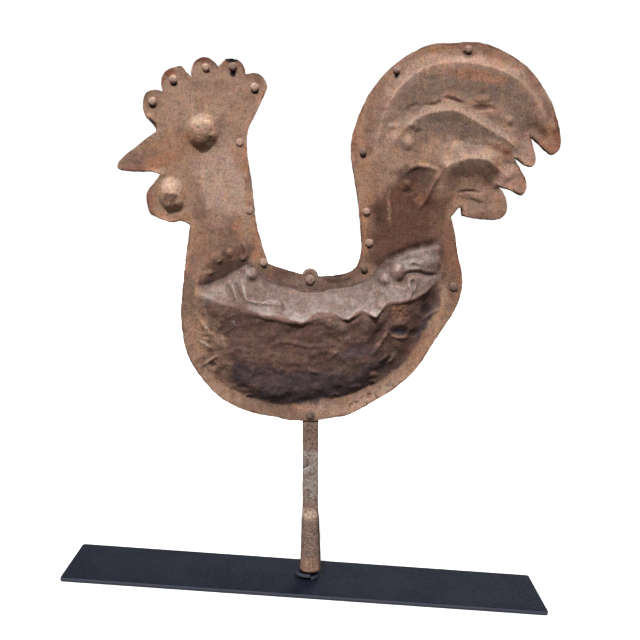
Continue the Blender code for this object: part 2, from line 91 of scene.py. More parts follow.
def vane_matrix():
    """The leaning frame of the vane, from the long axis of the CAD's strap."""
    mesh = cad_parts["stem_strap"].data
    points = np.array([v.co[:] for v in mesh.vertices])
    centre = points.mean(axis=0)
    spread = points - centre
    _, vectors = np.linalg.eigh(spread.T @ spread)
    axis = vectors[:, 2] * np.sign(vectors[2, 2])
    sideways = np.array([axis[2], 0.0, -axis[0]])
    centre = centre - sideways * STRAP_OFFSET * MM
    foot = centre - axis * (centre[0] / axis[0])
    lean = math.atan2(-axis[0], axis[2])
    return Matrix.Translation((0.0, 0.0, foot[2])) @ Matrix.Rotation(-lean, 4, "Y")


VANE = vane_matrix()
TO_VANE = VANE.inverted()


def carried_out(seen, rise):
    """A line drawn as the camera sees it on the vane's flat plane, moved to where it lies
    when the surface there stands out by the given rise."""
    found = []
    for u, v in seen:
        flat = VANE @ Vector((u * MM, 0.0, v * MM))
        raised = TO_VANE @ flat.lerp(CAMERA_PLACE, rise * MM / -CAMERA_PLACE.y)
        found.append((raised.x / MM, raised.z / MM))
    return found


# ------------------------------------------------------------------ outline of the rooster

NAPE = [(-43.3, 266), (-50, 287), (-55.5, 309), (-59.6, 348), (-63.3, 372), (-64.6, 392),
        (-63, 404), (-54.7, 421), (-45, 441.4), (-43.3, 447), (-45.5, 454), (-51, 459),
        (-58, 460.6), (-65.1, 459.3)]
COMB_FOUR = [(-65.1, 459.3), (-66.5, 465.8), (-70.5, 472), (-76, 475.4), (-82, 475.8),
             (-87.5, 472), (-92.9, 466.7)]
COMB_THREE = [(-92.9, 466.7), (-97, 471.8), (-102.5, 475.5), (-109, 476.2), (-115.5, 473),
              (-119.3, 467.5), (-120.4, 460.5), (-119, 456.3)]
COMB_TWO = [(-119, 456.3), (-124.5, 460.5), (-128.7, 465.7), (-131.3, 467.6), (-136, 466.5),
            (-144, 464), (-149.3, 459.5), (-151.2, 453), (-149.6, 442)]
COMB_ONE = [(-149.6, 442), (-155, 443.5), (-162, 443.2), (-167.2, 440.8), (-169.8, 434),
            (-170, 425), (-167.6, 417.7), (-161.5, 411.2), (-157.6, 406), (-156.4, 402.6)]
BEAK = [(-156.4, 402.6), (-166, 396), (-181.7, 384.1), (-192, 376.3), (-197, 370.5),
        (-198.3, 366.5), (-196, 364.2), (-182.7, 362), (-162, 361.6), (-154, 358.8)]
WATTLE = [(-154, 358.8), (-158, 353), (-164, 346), (-168, 340), (-169, 334), (-167.3, 324),
          (-165, 319), (-159, 315.2), (-150, 311.3), (-141, 309.8), (-133, 310.8),
          (-124.3, 307)]
BREAST = [(-124.3, 307), (-126.3, 293.4), (-129.1, 273.6), (-131.6, 252), (-134.4, 228),
          (-135.4, 212), (-134.4, 198), (-132.2, 182), (-127.5, 167), (-120.3, 153.7),
          (-110, 139.5), (-97.2, 126.2), (-80, 115.2), (-60, 107.7), (-36, 103.2),
          (-24, 100), (-8, 99.4), (8.4, 99.8), (22, 102), (40, 105.2), (52, 111), (64, 118),
          (85.4, 130.6), (100, 142.5), (114, 157), (126, 176), (138, 195), (149.2, 212),
          (156, 226.5), (159.4, 243), (158.6, 257.5), (155.3, 270), (153, 283),
          (151, 295), (148.6, 307), (146.5, 314)]
TAIL_NOTCH = [(146.5, 314), (151.7, 320.7), (156.4, 324.6), (158.3, 316.3)]
FEATHER_FOUR = [(158.3, 316.3), (170.8, 313.4), (183, 312), (193.3, 312), (199.8, 313.8),
                (203.6, 319), (204.4, 326), (202.5, 334.5), (199, 341), (194.2, 346.4)]
FEATHER_THREE = [(194.2, 346.4), (205.5, 343.2), (213.5, 339.5), (219.3, 337.1),
                 (222.4, 339.3), (224.2, 346), (222.8, 353), (218.5, 361), (209.8, 376)]
FEATHER_TWO = [(209.8, 376), (216, 372.5), (222, 368.2), (228, 366.4), (232, 368),
               (232.8, 373.5), (231, 382), (226.3, 397.3)]
FEATHER_ONE = [(226.3, 397.3), (235, 390), (243, 382.5), (249.7, 378.4), (255, 381),
               (258.1, 388), (257.2, 400), (253.1, 416), (247, 432), (238.5, 446),
               (229.5, 458.5), (218.5, 469), (205, 478), (190, 485.3), (173, 490.5),
               (160, 491), (146, 489.9), (130, 489.8), (117, 486.6), (100, 478.2),
               (86, 468.3), (73, 455.6), (61.5, 440.3), (52.5, 422.5), (46.5, 405.5),
               (43.2, 391), (43.2, 377), (46, 357.5), (49.3, 338), (51.8, 318),
               (53.2, 299), (54.1, 281.5), (52.2, 271), (48.7, 262.8), (43, 258.2),
               (36, 255.8), (26, 254), (10, 253), (-9.3, 255.5), (-20, 258.2),
               (-33.3, 262.5), (-43.3, 266)]
OUTLINE = [NAPE, COMB_FOUR, COMB_THREE, COMB_TWO, COMB_ONE, BEAK, WATTLE, BREAST, TAIL_NOTCH,
           FEATHER_FOUR, FEATHER_THREE, FEATHER_TWO, FEATHER_ONE]

# ------------------------------------------------------------------ hammered shapes

BODY_CREST = carried_out(
    [(-122, 236), (-110, 228), (-92, 222), (-76, 226), (-66, 222), (-58, 217), (-47, 211.5),
     (-34, 210.5), (-19, 206.5), (-8, 205), (0, 208.5), (7, 214), (25, 213.5), (34, 207.5),
     (41, 207.5), (48, 214), (55, 217), (62, 213.5), (69, 210), (75, 217), (81, 224.5),
     (97, 226), (110, 229), (123, 234.5), (135, 246)], BODY_DEPTH)
CREST_EVEN = [(-119, 236), (-90, 226), (-60, 219), (-30, 212), (0, 209), (30, 211), (60, 216),
              (90, 226), (112, 233), (132, 248)]
BODY_TOP = [(-119, 243), (-106, 244), (-100, 247), (-90, 251), (-82, 256), (-66, 265),
            (-56, 256), (-45, 246), (-30, 242), (-15, 240), (0, 238), (20, 239), (40, 241),
            (55, 245), (66, 252), (81, 267), (100, 278), (121, 284), (137, 288)]
BODY_LOW = [(-124, 206), (-118, 170), (-108, 152), (-90, 137)] + carried_out(
    [(-68.3, 124.6), (-59, 122), (-47.5, 117.5), (-30.3, 115), (-7.4, 114.8), (7, 117.5),
     (20, 121.8), (43, 126), (57, 133), (69, 138), (80, 143.7), (92, 152), (106, 169.5),
     (115, 185), (123, 201), (135, 215.4)], FOOT_RISE) + [(139, 240)]
# Left edge of the dark patina on the breast, from the crest down
PATINA_EDGE = [(-113, 300), (-112, 222), (-105, 212), (-96, 200), (-89, 186), (-87, 171),
               (-86, 156), (-84, 143), (-77, 133), (-68, 124), (-62, 90)]

TAIL_SWELL = [(70, 262), (68, 300), (68, 342), (67, 385), (74, 420), (91, 450), (125, 472),
              (160, 480), (200, 472), (232, 445), (246, 412), (246, 396), (226, 404),
              (216, 384), (200, 366), (186, 350), (180, 326), (150, 334), (138, 308),
              (137, 280), (130, 254), (98, 246)]

# Long feathers: crest line, height, width of the rise outside it, width of the fall inside it
FEATHERS = [
    ([(70, 345), (69, 372), (71, 394), (75, 413), (83, 433), (97, 450), (115, 463),
      (133, 469), (158, 470), (182, 466), (201, 459), (216, 449), (228, 436), (238, 419),
      (245, 402), (248, 390)], 3.6, 15.0, 34.0),
    ([(84, 376), (87, 392), (95, 402), (106, 411), (118, 418), (132, 421), (146, 422),
      (158, 418), (170, 411), (183, 403), (196, 396), (208, 388), (220, 378)],
     3.1, 10.0, 26.0),
    ([(133, 361), (143, 367), (156, 372), (170, 374), (184, 371), (196, 362), (208, 350)],
     3.4, 15.0, 18.0),
]

# Ridges and grooves: line, height (negative cuts in), half width
CREASES = [
    # tail: nicks above the second feather, the Y fold and the arch over the hollow
    ([(97, 420), (105, 427), (113, 428)], -1.0, 2.0),
    ([(121, 428), (129, 429), (134, 432)], -1.5, 1.7),
    ([(137, 435), (146, 434), (156, 429)], -1.6, 1.8),
    ([(135, 361), (127, 348), (120, 333), (112, 322)], 2.2, 2.4),
    ([(96, 356), (101, 362), (110, 366), (121, 366), (135, 361)], 1.6, 2.4),
    ([(140, 381), (151, 387), (166, 390), (181, 391), (193, 388), (204, 380)], 0.8, 3.5),
    ([(82, 302), (82, 322), (83, 344)], 1.0, 1.5),
    ([(153, 339), (164, 341), (177, 339)], -1.5, 1.3),
    ([(164, 333), (172, 330), (182, 327)], -1.4, 1.3),
    # foot of the neck: deep fold along the top of the breast, and a curled dent
    ([(-115, 244), (-104, 248), (-94, 253), (-84, 260), (-70, 267)], -3.6, 5.0),
    ([(-90, 272), (-89, 279), (-83, 284), (-77, 281), (-75, 275), (-72, 271)], -2.8, 1.5),
    ([(-71, 290), (-67, 282), (-66, 274), (-70, 270), (-75, 271)], 2.2, 1.7),
    ([(-97, 267), (-93, 269), (-90, 275)], 1.8, 1.7),
    # breast, left: folds of the shelf and wrinkles on the flank
    (carried_out([(-72, 248), (-69, 236), (-66.5, 228), (-60, 226), (-45, 224), (-29, 223)], 20),
     2.4, 1.8),
    ([(-28, 226), (-27, 218)], -1.6, 1.3),
    ([(-88, 245), (-82, 236), (-77, 226)], -2.5, 2.1),
    ([(-78, 247), (-74, 237), (-71, 228)], -1.7, 1.8),
    ([(-117, 156), (-109, 162), (-103, 166), (-97, 169)], 1.7, 1.7),
    ([(-106, 158), (-98, 160)], -1.2, 1.8),
    ([(-115, 207), (-108, 198), (-101, 190)], 1.3, 2.2),
    ([(-118, 185), (-111, 182), (-105, 178)], 1.3, 1.6),
    ([(-71, 122), (-67, 127), (-60, 127)], 1.0, 1.3),
    # breast, middle: long wrinkles below the crest
    ([(-40, 182), (-29, 186), (-18, 185), (-6, 182), (12, 181), (30, 184)], 0.9, 2.4),
    ([(27, 213), (33, 209), (40, 208), (47, 210), (53, 216)], -1.9, 1.8),
    ([(10, 193), (24, 189), (34, 182)], -0.9, 2.6),
    ([(0, 172), (16, 176), (30, 174)], 0.9, 3.0), ([(-2, 158), (4, 154), (10, 150)], 0.8, 1.6),
    ([(20, 168), (28, 176), (31, 184)], 0.8, 2.2),
    # breast, right: a slanting fold, a V below the hollow, ripples and foot lumps
    ([(83, 200), (76, 189), (69, 178), (63, 169)], 1.9, 2.6),
    ([(75, 205), (68, 192), (60, 180)], -1.7, 3.6),
    ([(80, 197), (87, 191), (94, 189), (103, 190)], 1.1, 1.4),
    ([(72, 164), (78, 168), (80, 173)], 1.2, 1.4), ([(83, 162), (87, 167), (88, 172)], 1.0, 1.4),
    ([(75, 161), (81, 164), (85, 170)], -1.1, 1.4),
    ([(21, 125), (26, 129), (31, 125)], 1.1, 1.5), ([(118, 206), (126, 213), (137, 219)], 1.2, 1.8),
    # shoulder below the tail: folds and an eddy
    (carried_out([(80.7, 268.4), (100.3, 278.5), (121.9, 284.2), (141.5, 288.5)], 5), -2.6, 4.6),
    ([(86, 246), (96, 249), (102, 256), (112, 257), (122, 254), (133, 254)], -4.8, 2.5),
    ([(101, 230), (105, 238), (102, 246), (106, 252), (110, 247), (107, 238)], 3.2, 1.7),
    ([(87, 262), (92, 266), (97, 262)], 1.6, 2.2), ([(101, 264), (108, 268), (116, 264)], 1.6, 2.2),
    ([(134, 288), (134, 272), (138, 258), (135, 248)], 1.4, 2.4),
]

# Bumps and dents: centre, half sizes, height
BUMPS = [
    ((-109.5, 401.5), (17, 18.5), 9.6), ((-117, 409), (7, 6), 1.4), ((-100, 392), (8, 6), -1.4),
    ((-104, 410), (6, 5), 1.0), ((-112, 391), (7, 5), 1.0), ((-142.5, 337.5), (14, 18), 8.0),
    ((-134, 328), (7, 6), 1.8), ((-148, 343), (7, 8), 1.0), ((-146, 326), (6, 6), 1.2),
    ((-60, 255), (7, 6.5), 6.0), ((-71, 256), (6, 4), -1.8), ((-104, 256), (9, 4.5), 2.2),
    ((-114, 247), (7, 3.5), 0.8), ((-84, 277), (5, 6), 1.8), ((-75, 276), (3.2, 3), -3.0),
    ((-71, 273), (4, 3.5), 1.4), ((-96, 272), (9, 8), 1.2),
    ((77, 250), (6.5, 7), 5.0), ((90, 259), (8, 9), 5.2), ((97, 247), (7, 5), -2.6),
    ((108, 264), (8, 4), -1.2), ((122, 268), (10, 8), 1.8), ((133, 266), (6, 9), 1.4),
    ((68, 233), (7, 6), -0.9), ((72, 226), (5, 6), 1.0), ((22, 226), (6, 5), -0.5),
    ((92, 214), (12, 11), -1.4), ((92, 197), (12, 8), -2.0), ((108, 193), (8, 5), -1.3),
    ((121, 218), (9, 8), -1.5), ((128, 229), (9, 8), -1.2), ((66, 142), (5, 4), 1.6),
    ((66, 149), (6, 5), 1.2), ((48, 136), (8, 4), 1.2), ((20, 206), (10, 6), 1.0),
    ((34, 201), (8, 7), 1.1), ((57, 204), (6, 12), 1.4), ((47, 199), (5, 9), -1.0),
    ((109, 353), (19, 15), -1.8), ((162, 350), (28, 16), -1.8), ((101, 349), (6, 5), 1.8),
    ((101, 341), (7, 4), -1.3), ((101, 390), (7, 9), 2.4), ((109, 402), (7, 4), -0.8),
    ((104, 408), (5, 4), 1.2), ((85, 407), (9, 4), 1.2), ((176, 434), (10, 5), 1.7),
    ((178, 425), (13, 4.5), -1.5), ((204, 413), (6, 5), 1.8), ((206, 406), (7, 3.5), -0.7),
    ((70, 320), (9, 18), -1.0), ((-20, 162), (24, 12), 1.2), ((40, 168), (22, 12), 1.0),
    ((-70, 175), (22, 16), 1.0), ((-98, 149), (6, 6), -1.2), ((-82, 140), (6, 3), -0.6),
    ((-71, 136), (8, 3.5), -0.8), ((-62, 136), (5, 5), 0.8), ((-110, 190), (5, 2.5), -1.2),
    ((-104, 174), (6, 3), -1.2), ((-60, 200), (22, 9), -0.8),
]

# Places where the front sheet's edge stands away from the rear one
FRONT_LIFTS = [((27, 254), (22, 9), 2.6), ((-79, 477), (9, 7), 2.4),
               ((-164, 413), (10, 9), 2.2), ((-160, 360), (16, 6), 1.6),
               ((-150, 309), (20, 7), 1.4), ((208, 374), (8, 6), 1.6),
               ((193, 347), (6, 5), 1.6), ((250, 380), (8, 8), 1.0)]
# A bite out of the front sheet's edge at the top of the fourth comb lobe
FRONT_BITE = ((-78.8, 477.0), 5.5, 4.2)

# ------------------------------------------------------------------ the CAD's places


def to_world(points):
    """World metres from (u, y, v) rows in millimetres in the vane's frame."""
    points = np.asarray(points, float)
    turn = np.array(VANE.to_3x3())
    return points * MM @ turn.T + np.array(VANE.translation)


def node_in_vane(node):
    """Centre and size of a CAD node in the vane's frame, in millimetres."""
    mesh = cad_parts[node].data
    points = np.array([(TO_VANE @ v.co)[:] for v in mesh.vertices]) / MM
    low, high = points.min(axis=0), points.max(axis=0)
    return (low + high) / 2, high - low, low, high


RIVET_NODES = sorted(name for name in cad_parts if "rivet" in name)
RIVET_PLACES = {name: node_in_vane(name)[0][[0, 2]] for name in RIVET_NODES}

# ------------------------------------------------------------------ curves and areas


def smooth_chain(points, step, closed=False):
    """Points about one step apart on a smooth curve through the given points."""
    pts = [np.array(p, float) for p in points]
    if closed:
        ring = [pts[-1], *pts, pts[0], pts[1]]
    else:
        ring = [2 * pts[0] - pts[1], *pts, 2 * pts[-1] - pts[-2]]
    out = []
    for a, b, c, d in zip(ring, ring[1:], ring[2:], ring[3:]):
        count = max(1, round(float(np.linalg.norm(c - b)) / step))
        spans = [math.sqrt(np.linalg.norm(q - p)) for p, q in ((a, b), (b, c), (c, d))]
        knots = np.cumsum([0.0] + spans)
        for k in range(count):
            t = knots[1] + (knots[2] - knots[1]) * k / count
            out.append(centripetal(a, b, c, d, knots, t))
    if not closed:
        out.append(pts[-1])
    return np.array(out)


def centripetal(a, b, c, d, knots, t):
    """One point of the centripetal Catmull-Rom curve between b and c."""
    def blend(p, q, lo, hi):
        return ((hi - t) * p + (t - lo) * q) / (hi - lo)
    ab = blend(a, b, knots[0], knots[1])
    bc = blend(b, c, knots[1], knots[2])
    cd = blend(c, d, knots[2], knots[3])
    abc = blend(ab, bc, knots[0], knots[2])
    bcd = blend(bc, cd, knots[1], knots[3])
    return blend(abc, bcd, knots[1], knots[2])


def rooster_outline(step):
    """The whole outline, each drawn stretch smooth, with corners between stretches."""
    return np.vstack([smooth_chain(stretch, step)[:-1] for stretch in OUTLINE])


def inside(points, loop):
    """Which points lie inside a closed loop."""
    x, y = points[:, 0], points[:, 1]
    hit = np.zeros(len(points), bool)
    for (x0, y0), (x1, y1) in zip(loop, np.roll(loop, -1, axis=0)):
        if y0 == y1:
            continue
        crosses = (y0 > y) != (y1 > y)
        hit ^= crosses & (x < (x1 - x0) * (y - y0) / (y1 - y0) + x0)
    return hit


def chain_field(points, chain):
    """Distance to a chain, side (+1 to its left), and share of its length at the foot."""
    chain = np.asarray(chain, float)
    lengths = np.linalg.norm(np.diff(chain, axis=0), axis=1)
    starts = np.concatenate([[0.0], np.cumsum(lengths)])
    best = np.full(len(points), 1e9)
    side = np.ones(len(points))
    along = np.zeros(len(points))
    for i, (start, end) in enumerate(zip(chain, chain[1:])):
        step = end - start
        offset = points - start
        t = np.clip(offset @ step / (step @ step), 0.0, 1.0)
        away = np.hypot(offset[:, 0] - t * step[0], offset[:, 1] - t * step[1])
        near = away < best
        best = np.where(near, away, best)
        turn = step[0] * offset[:, 1] - step[1] * offset[:, 0]
        side = np.where(near, np.sign(turn), side)
        along = np.where(near, (starts[i] + t * lengths[i]) / starts[-1], along)
    return best, side, along


def distance_to(points, chain):
    """Distance from each point to a chain."""
    return chain_field(points, chain)[0]


def depth_within(points, loop):
    """Distance in from the loop for points inside it, else 0."""
    closed = np.vstack([loop, loop[:1]])
    return np.where(inside(points, loop), distance_to(points, closed), 0.0)


def ramp(value, low, high):
    """Smooth step from 0 at low to 1 at high."""
    t = np.clip((value - low) / (high - low), 0.0, 1.0)
    return t * t * (3 - 2 * t)


def scrambled(column, row, seed):
    """A repeatable number from 0 to 1 for each whole-numbered spot of a lattice."""
    mixed = (column.astype(np.int64) * 374761393 + row.astype(np.int64) * 668265263
             + seed * 974634721) & 0xFFFFFFFF
    mixed = ((mixed ^ (mixed >> 13)) * 1274126177) & 0xFFFFFFFF
    return (mixed ^ (mixed >> 16)) / 2.0 ** 32


def soft_noise(x, y, seed):
    """Gradient noise with lumps one unit across."""
    column, row = np.floor(x), np.floor(y)
    total = np.zeros(len(x))
    for right in (0, 1):
        for up in (0, 1):
            angle = 2 * math.pi * scrambled(column + right, row + up, seed)
            dx, dy = x - column - right, y - row - up
            weight = ramp(1 - np.abs(dx), 0, 1) * ramp(1 - np.abs(dy), 0, 1)
            total += weight * (np.cos(angle) * dx + np.sin(angle) * dy)
    return total


def noise_field(points, size, seed, octaves=3):
    """Soft noise of about -1 to 1, with lumps of the given size in millimetres."""
    total = np.zeros(len(points))
    for k in range(octaves):
        finer = 2.1 ** k / size
        total += 1.3 * 2.1 ** (-0.8 * k) * soft_noise(points[:, 0] * finer + 31.7 * k,
                                                      points[:, 1] * finer, seed + 50 * k)
    return total


def hammer_field(points, size, seed):
    """Shallow dished facets, as a ball hammer leaves them."""
    x, y = points[:, 0] / size, points[:, 1] / size
    column, row = np.floor(x), np.floor(y)
    best = np.full(len(points), 9.0)
    for right in (-1, 0, 1):
        for up in (-1, 0, 1):
            c, r = column + right, row + up
            dx = x - c - scrambled(c, r, seed)
            dy = y - r - scrambled(c, r, seed + 500)
            best = np.minimum(best, dx ** 2 + dy ** 2)
    return best


def nearest(points, places):
    """Distance from each point to the nearest of the places."""
    tree = kdtree.KDTree(len(places))
    for i, place in enumerate(places):
        tree.insert((place[0], place[1], 0.0), i)
    tree.balance()
    return np.array([tree.find((x, y, 0.0))[2] for x, y in points])


def bump(points, centre, radii, height):
    """A round-footed swelling or, with a negative height, a dent."""
    q = ((points - np.array(centre, float)) / np.array(radii, float)) ** 2
    share = np.clip(1.0 - q.sum(axis=1), 0.0, 1.0)
    return height * share ** 1.5


def dome(points, centre, radii, height):
    """A hammered boss: round on top, with a soft foot."""
    q = ((points - np.array(centre, float)) / np.array(radii, float)) ** 2
    share = np.clip(1.0 - q.sum(axis=1), 0.0, 1.0)
    return height * (share ** 0.95) * (1.0 + 0.13 * noise_field(points, 6, 31))


# ------------------------------------------------------------------ relief of a sheet


def along_u(line, u):
    """Height v of a line drawn from left to right, at each u."""
    line = np.array(line, float)
    return np.interp(u, line[:, 0], line[:, 1])


def body_relief(points):
    """A plain shelf that rises to the wandering crest, then a belly and a steep foot."""
    u, v = points[:, 0], points[:, 1]
    crest = along_u(BODY_CREST, u)
    even = along_u(CREST_EVEN, u)
    top = along_u(BODY_TOP, u)
    low = along_u(BODY_LOW, u)
    full = BODY_DEPTH * ramp(u, -127, -84) * (1 - ramp(u, 94, 141))
    sharp = ramp(u, *SHARP_FROM)
    shelf = np.clip((top - v) / (top - even), 0.0, 1.0 + 0.3 * sharp) ** 0.95
    below = np.clip((crest - v) / (crest - low), 0.0, 1.0)
    reach = FOOT_REACH + 30.0 * (1 - ramp(u, -100, -66)) + 36.0 * ramp(u, 50, 92)
    climb = np.clip((1 - below) * (crest - low) / reach, 0.0, 1.0)
    foot = np.sin(math.pi / 2 * climb) ** 0.85
    belly = (1 - CREST_DROP) * (1 - BELLY_FALL * below ** 1.25) * foot
    belly *= 1 - 0.06 * ramp(u, 60, 100)
    over = ramp(crest - v, 0.0, CREST_FALL + 18.0 * (1 - sharp) + 3.0 * (1 - ramp(u, 0, 30)))
    lip = CREST_LIP * sharp * np.exp(-((v - crest - 0.5) / 1.8) ** 2) * ramp(full, 4, 14)
    return full * (shelf + (belly - shelf) * over) + lip


def tail_relief(points):
    """Shingled feathers: each rises to a crisp crest and falls gently on its inner side."""
    loop = smooth_chain(TAIL_SWELL, 6.0, closed=True)
    depth = depth_within(points, loop)
    height = 4.0 * (1 - np.exp(-(depth / 10.0) ** 1.4))
    for line, rise, outer, inner in FEATHERS:
        away, side, along = chain_field(points, smooth_chain(line, 5.0))
        ends = ramp(along, 0.0, 0.12) * (1 - ramp(along, 0.9, 1.0))
        outside = np.clip(1 - away / outer, 0.0, 1.0) ** 1.3
        within = np.exp(-2.0 * away / inner)
        height = height + rise * ends * np.where(side > 0, outside, within)
    return height


def strap_channel(points):
    """How far the sheet must stand out to clear the strap below it."""
    rise = STRAP_HALF_THICK + 0.15
    across = np.abs(points[:, 0])
    return rise * (1 - ramp(across, CHANNEL_INNER, CHANNEL_OUTER)) * (points[:, 1] < 300)


def relief(points, seed):
    """Height of the sheet above the flange, with all its hammered detail."""
    height = np.maximum(body_relief(points), tail_relief(points))
    for line, rise, width in CREASES:
        chain = smooth_chain(line, 3.0)
        reach = 3 * width
        close = np.all((points > chain.min(axis=0) - reach)
                       & (points < chain.max(axis=0) + reach), axis=1)
        away, _, along = chain_field(points[close], chain)
        ends = np.sqrt(ramp(along, -0.02, 0.25) * (1 - ramp(along, 0.75, 1.02)))
        height[close] += rise * ends * np.exp(-(away / width) ** 2)
    for centre, radii, rise in BUMPS:
        shape = dome if rise > DOME_RISE else bump
        height = height + shape(points, centre, radii, rise)
    body = ramp(body_relief(points), 1.0, 8.0)
    left = (1 - ramp(points[:, 0], -100, -80)) * (1 - ramp(points[:, 1], 215, 245))
    height += 0.9 * body * noise_field(points, 30, seed)
    height += (0.25 + 0.45 * body + 0.65 * left) * noise_field(points, 11, seed + 1)
    patch = bump(points, (93, 213), (18, 17), 1.0)
    height += (0.05 + 0.7 * patch) * noise_field(points, 3.4, seed + 2)
    height += 0.5 * (0.4 + body) * (hammer_field(points, 11, seed + 3) - 0.18)
    return height


def seated(points, height):
    """Flatten the relief over the strap and under every rivet."""
    channel = strap_channel(points)
    height = np.maximum(height, channel)
    for place in RIVET_PLACES.values():
        away = np.linalg.norm(points - place, axis=1)
        height = channel + (height - channel) * ramp(away, SEAT_INNER, SEAT_OUTER)
    return height


# ------------------------------------------------------------------ building a sheet


def hex_grid(loop, step):
    """Rows of points inside a loop, a little clear of it."""
    low, high = loop.min(axis=0), loop.max(axis=0)
    rows = np.arange(low[1], high[1], step * math.sqrt(3) / 2)
    starts, ends = loop, np.roll(loop, -1, axis=0)
    found = []
    for k, v in enumerate(rows):
        us = np.arange(low[0] + step / 2 * (k % 2), high[0], step)
        cut = (starts[:, 1] > v) != (ends[:, 1] > v)
        a, b = starts[cut], ends[cut]
        walls = np.sort(a[:, 0] + (b[:, 0] - a[:, 0]) * (v - a[:, 1]) / (b[:, 1] - a[:, 1]))
        us = us[np.searchsorted(walls, us) % 2 == 1]
        found.append(np.column_stack([us, np.full(len(us), v)]))
    found = np.vstack(found)
    return found[nearest(found, loop) > step * 0.72]


def flat_plan(loops, loose):
    """Triangulate the area inside the first loop and outside the others."""
    edges = []
    start = 0
    for loop in loops:
        count = len(loop)
        edges.extend((start + i, start + (i + 1) % count) for i in range(count))
        start += count
    spots = [Vector(p) for p in np.vstack([*loops, loose])]
    verts, _, faces, _, _, _ = delaunay_2d_cdt(spots, edges, [], 1, 1e-5)
    if len(verts) != len(spots):
        raise ValueError("two points of a sheet's plan fell together")
    verts = np.array([tuple(v) for v in verts])
    centres = verts[np.array(faces)].mean(axis=1)
    keep = inside(centres, loops[0])
    for loop in loops[1:]:
        keep &= ~inside(centres, loop)
    return verts, np.array(faces)[keep]


def closed_shell(outer, outer_faces, inner, inner_faces):
    """One closed body from two surfaces whose plans share their rim points."""
    count = len(outer)
    back = [(f[2] + count, f[1] + count, f[0] + count) for f in inner_faces]
    directed = set()
    for f in outer_faces:
        directed.update(((f[0], f[1]), (f[1], f[2]), (f[2], f[0])))
    walls = [(b, a, a + count, b + count) for a, b in sorted(directed)
             if (b, a) not in directed]
    return np.vstack([outer, inner]), [tuple(f) for f in outer_faces] + back + walls


def cut_wave(loop, seed):
    """Move the outline's points a little, as hand shears leave an edge."""
    ahead = np.roll(loop, -1, axis=0) - np.roll(loop, 1, axis=0)
    normal = np.column_stack([ahead[:, 1], -ahead[:, 0]])
    normal /= np.linalg.norm(normal, axis=1)[:, None]
    return loop + normal * (CUT_WAVE * noise_field(loop, 7.0, seed))[:, None]


def soft_spot(points, centre, radii, turn):
    """1 inside a turned ellipse, fading to 0 at its rim."""
    angle = math.radians(turn)
    offset = points - np.array(centre, float)
    along = offset[:, 0] * math.cos(angle) + offset[:, 1] * math.sin(angle)
    across = offset[:, 1] * math.cos(angle) - offset[:, 0] * math.sin(angle)
    return ramp(1 - (along / radii[0]) ** 2 - (across / radii[1]) ** 2, 0.0, 0.75)


def blend_in(colour, target, share):
    """Move colours towards a target by a share."""
    return colour + (np.array(target) - colour) * np.clip(share, 0, 1)[:, None]


def lay_spots(colour, where, spots):
    """Blend the painted spots over a colour, in the order of their list."""
    for target, amount, centre, radii, turn in spots:
        colour = blend_in(colour, target, amount * soft_spot(where, centre, radii, turn))
    return colour


def paint_sheet(points, height, smooth, to_edge, seed):
    """Rust colours laid over each other, from the ground tone to the stains, with painted
    highlights and painted shade among them and painted shadows laid last.
    """
    wander = points + 4.0 * np.column_stack([noise_field(points, 13, seed + 41, 4),
                                             noise_field(points, 13, seed + 42, 4)])
    colour = paint_ground(points, wander, seed)
    colour, body, shelf = paint_breast(colour, points, wander, seed)
    colour = lay_spots(colour, wander, BODY_SPOTS)
    colour = paint_wear(colour, points, height - smooth, body, to_edge, seed)
    # Last come the painted shadows under the rivets and in the gaps and creases, with a few stains
    return lay_spots(colour, points, SHADOW_AND_STAIN_SPOTS), shelf


def paint_ground(points, wander, seed):
    """Tan rust with its broad stains, warm and cool patches, and pits in the lower right; the spots
    and the feather bands also hold painted highlights and painted shade.
    """
    colour = np.tile(np.array(TAN), (len(points), 1))
    colour = lay_spots(colour, wander, GROUND_SPOTS)
    colour = paint_feathers(colour, points, wander)
    warm = ramp(noise_field(points, 10, seed + 62), 0.05, 0.6)
    cool = ramp(noise_field(points, 14, seed + 63), 0.05, 0.6)
    colour = blend_in(colour, colour * WARM_CAST, 0.8 * warm)
    colour = blend_in(colour, colour * COOL_CAST, 0.8 * cool)
    centre, radii, turn = SALTED
    pits = ramp(noise_field(points, 4.5, seed + 64, 2), 0.25, 0.5)
    return blend_in(colour, DEEP, 0.75 * soft_spot(points, centre, radii, turn) * pits)


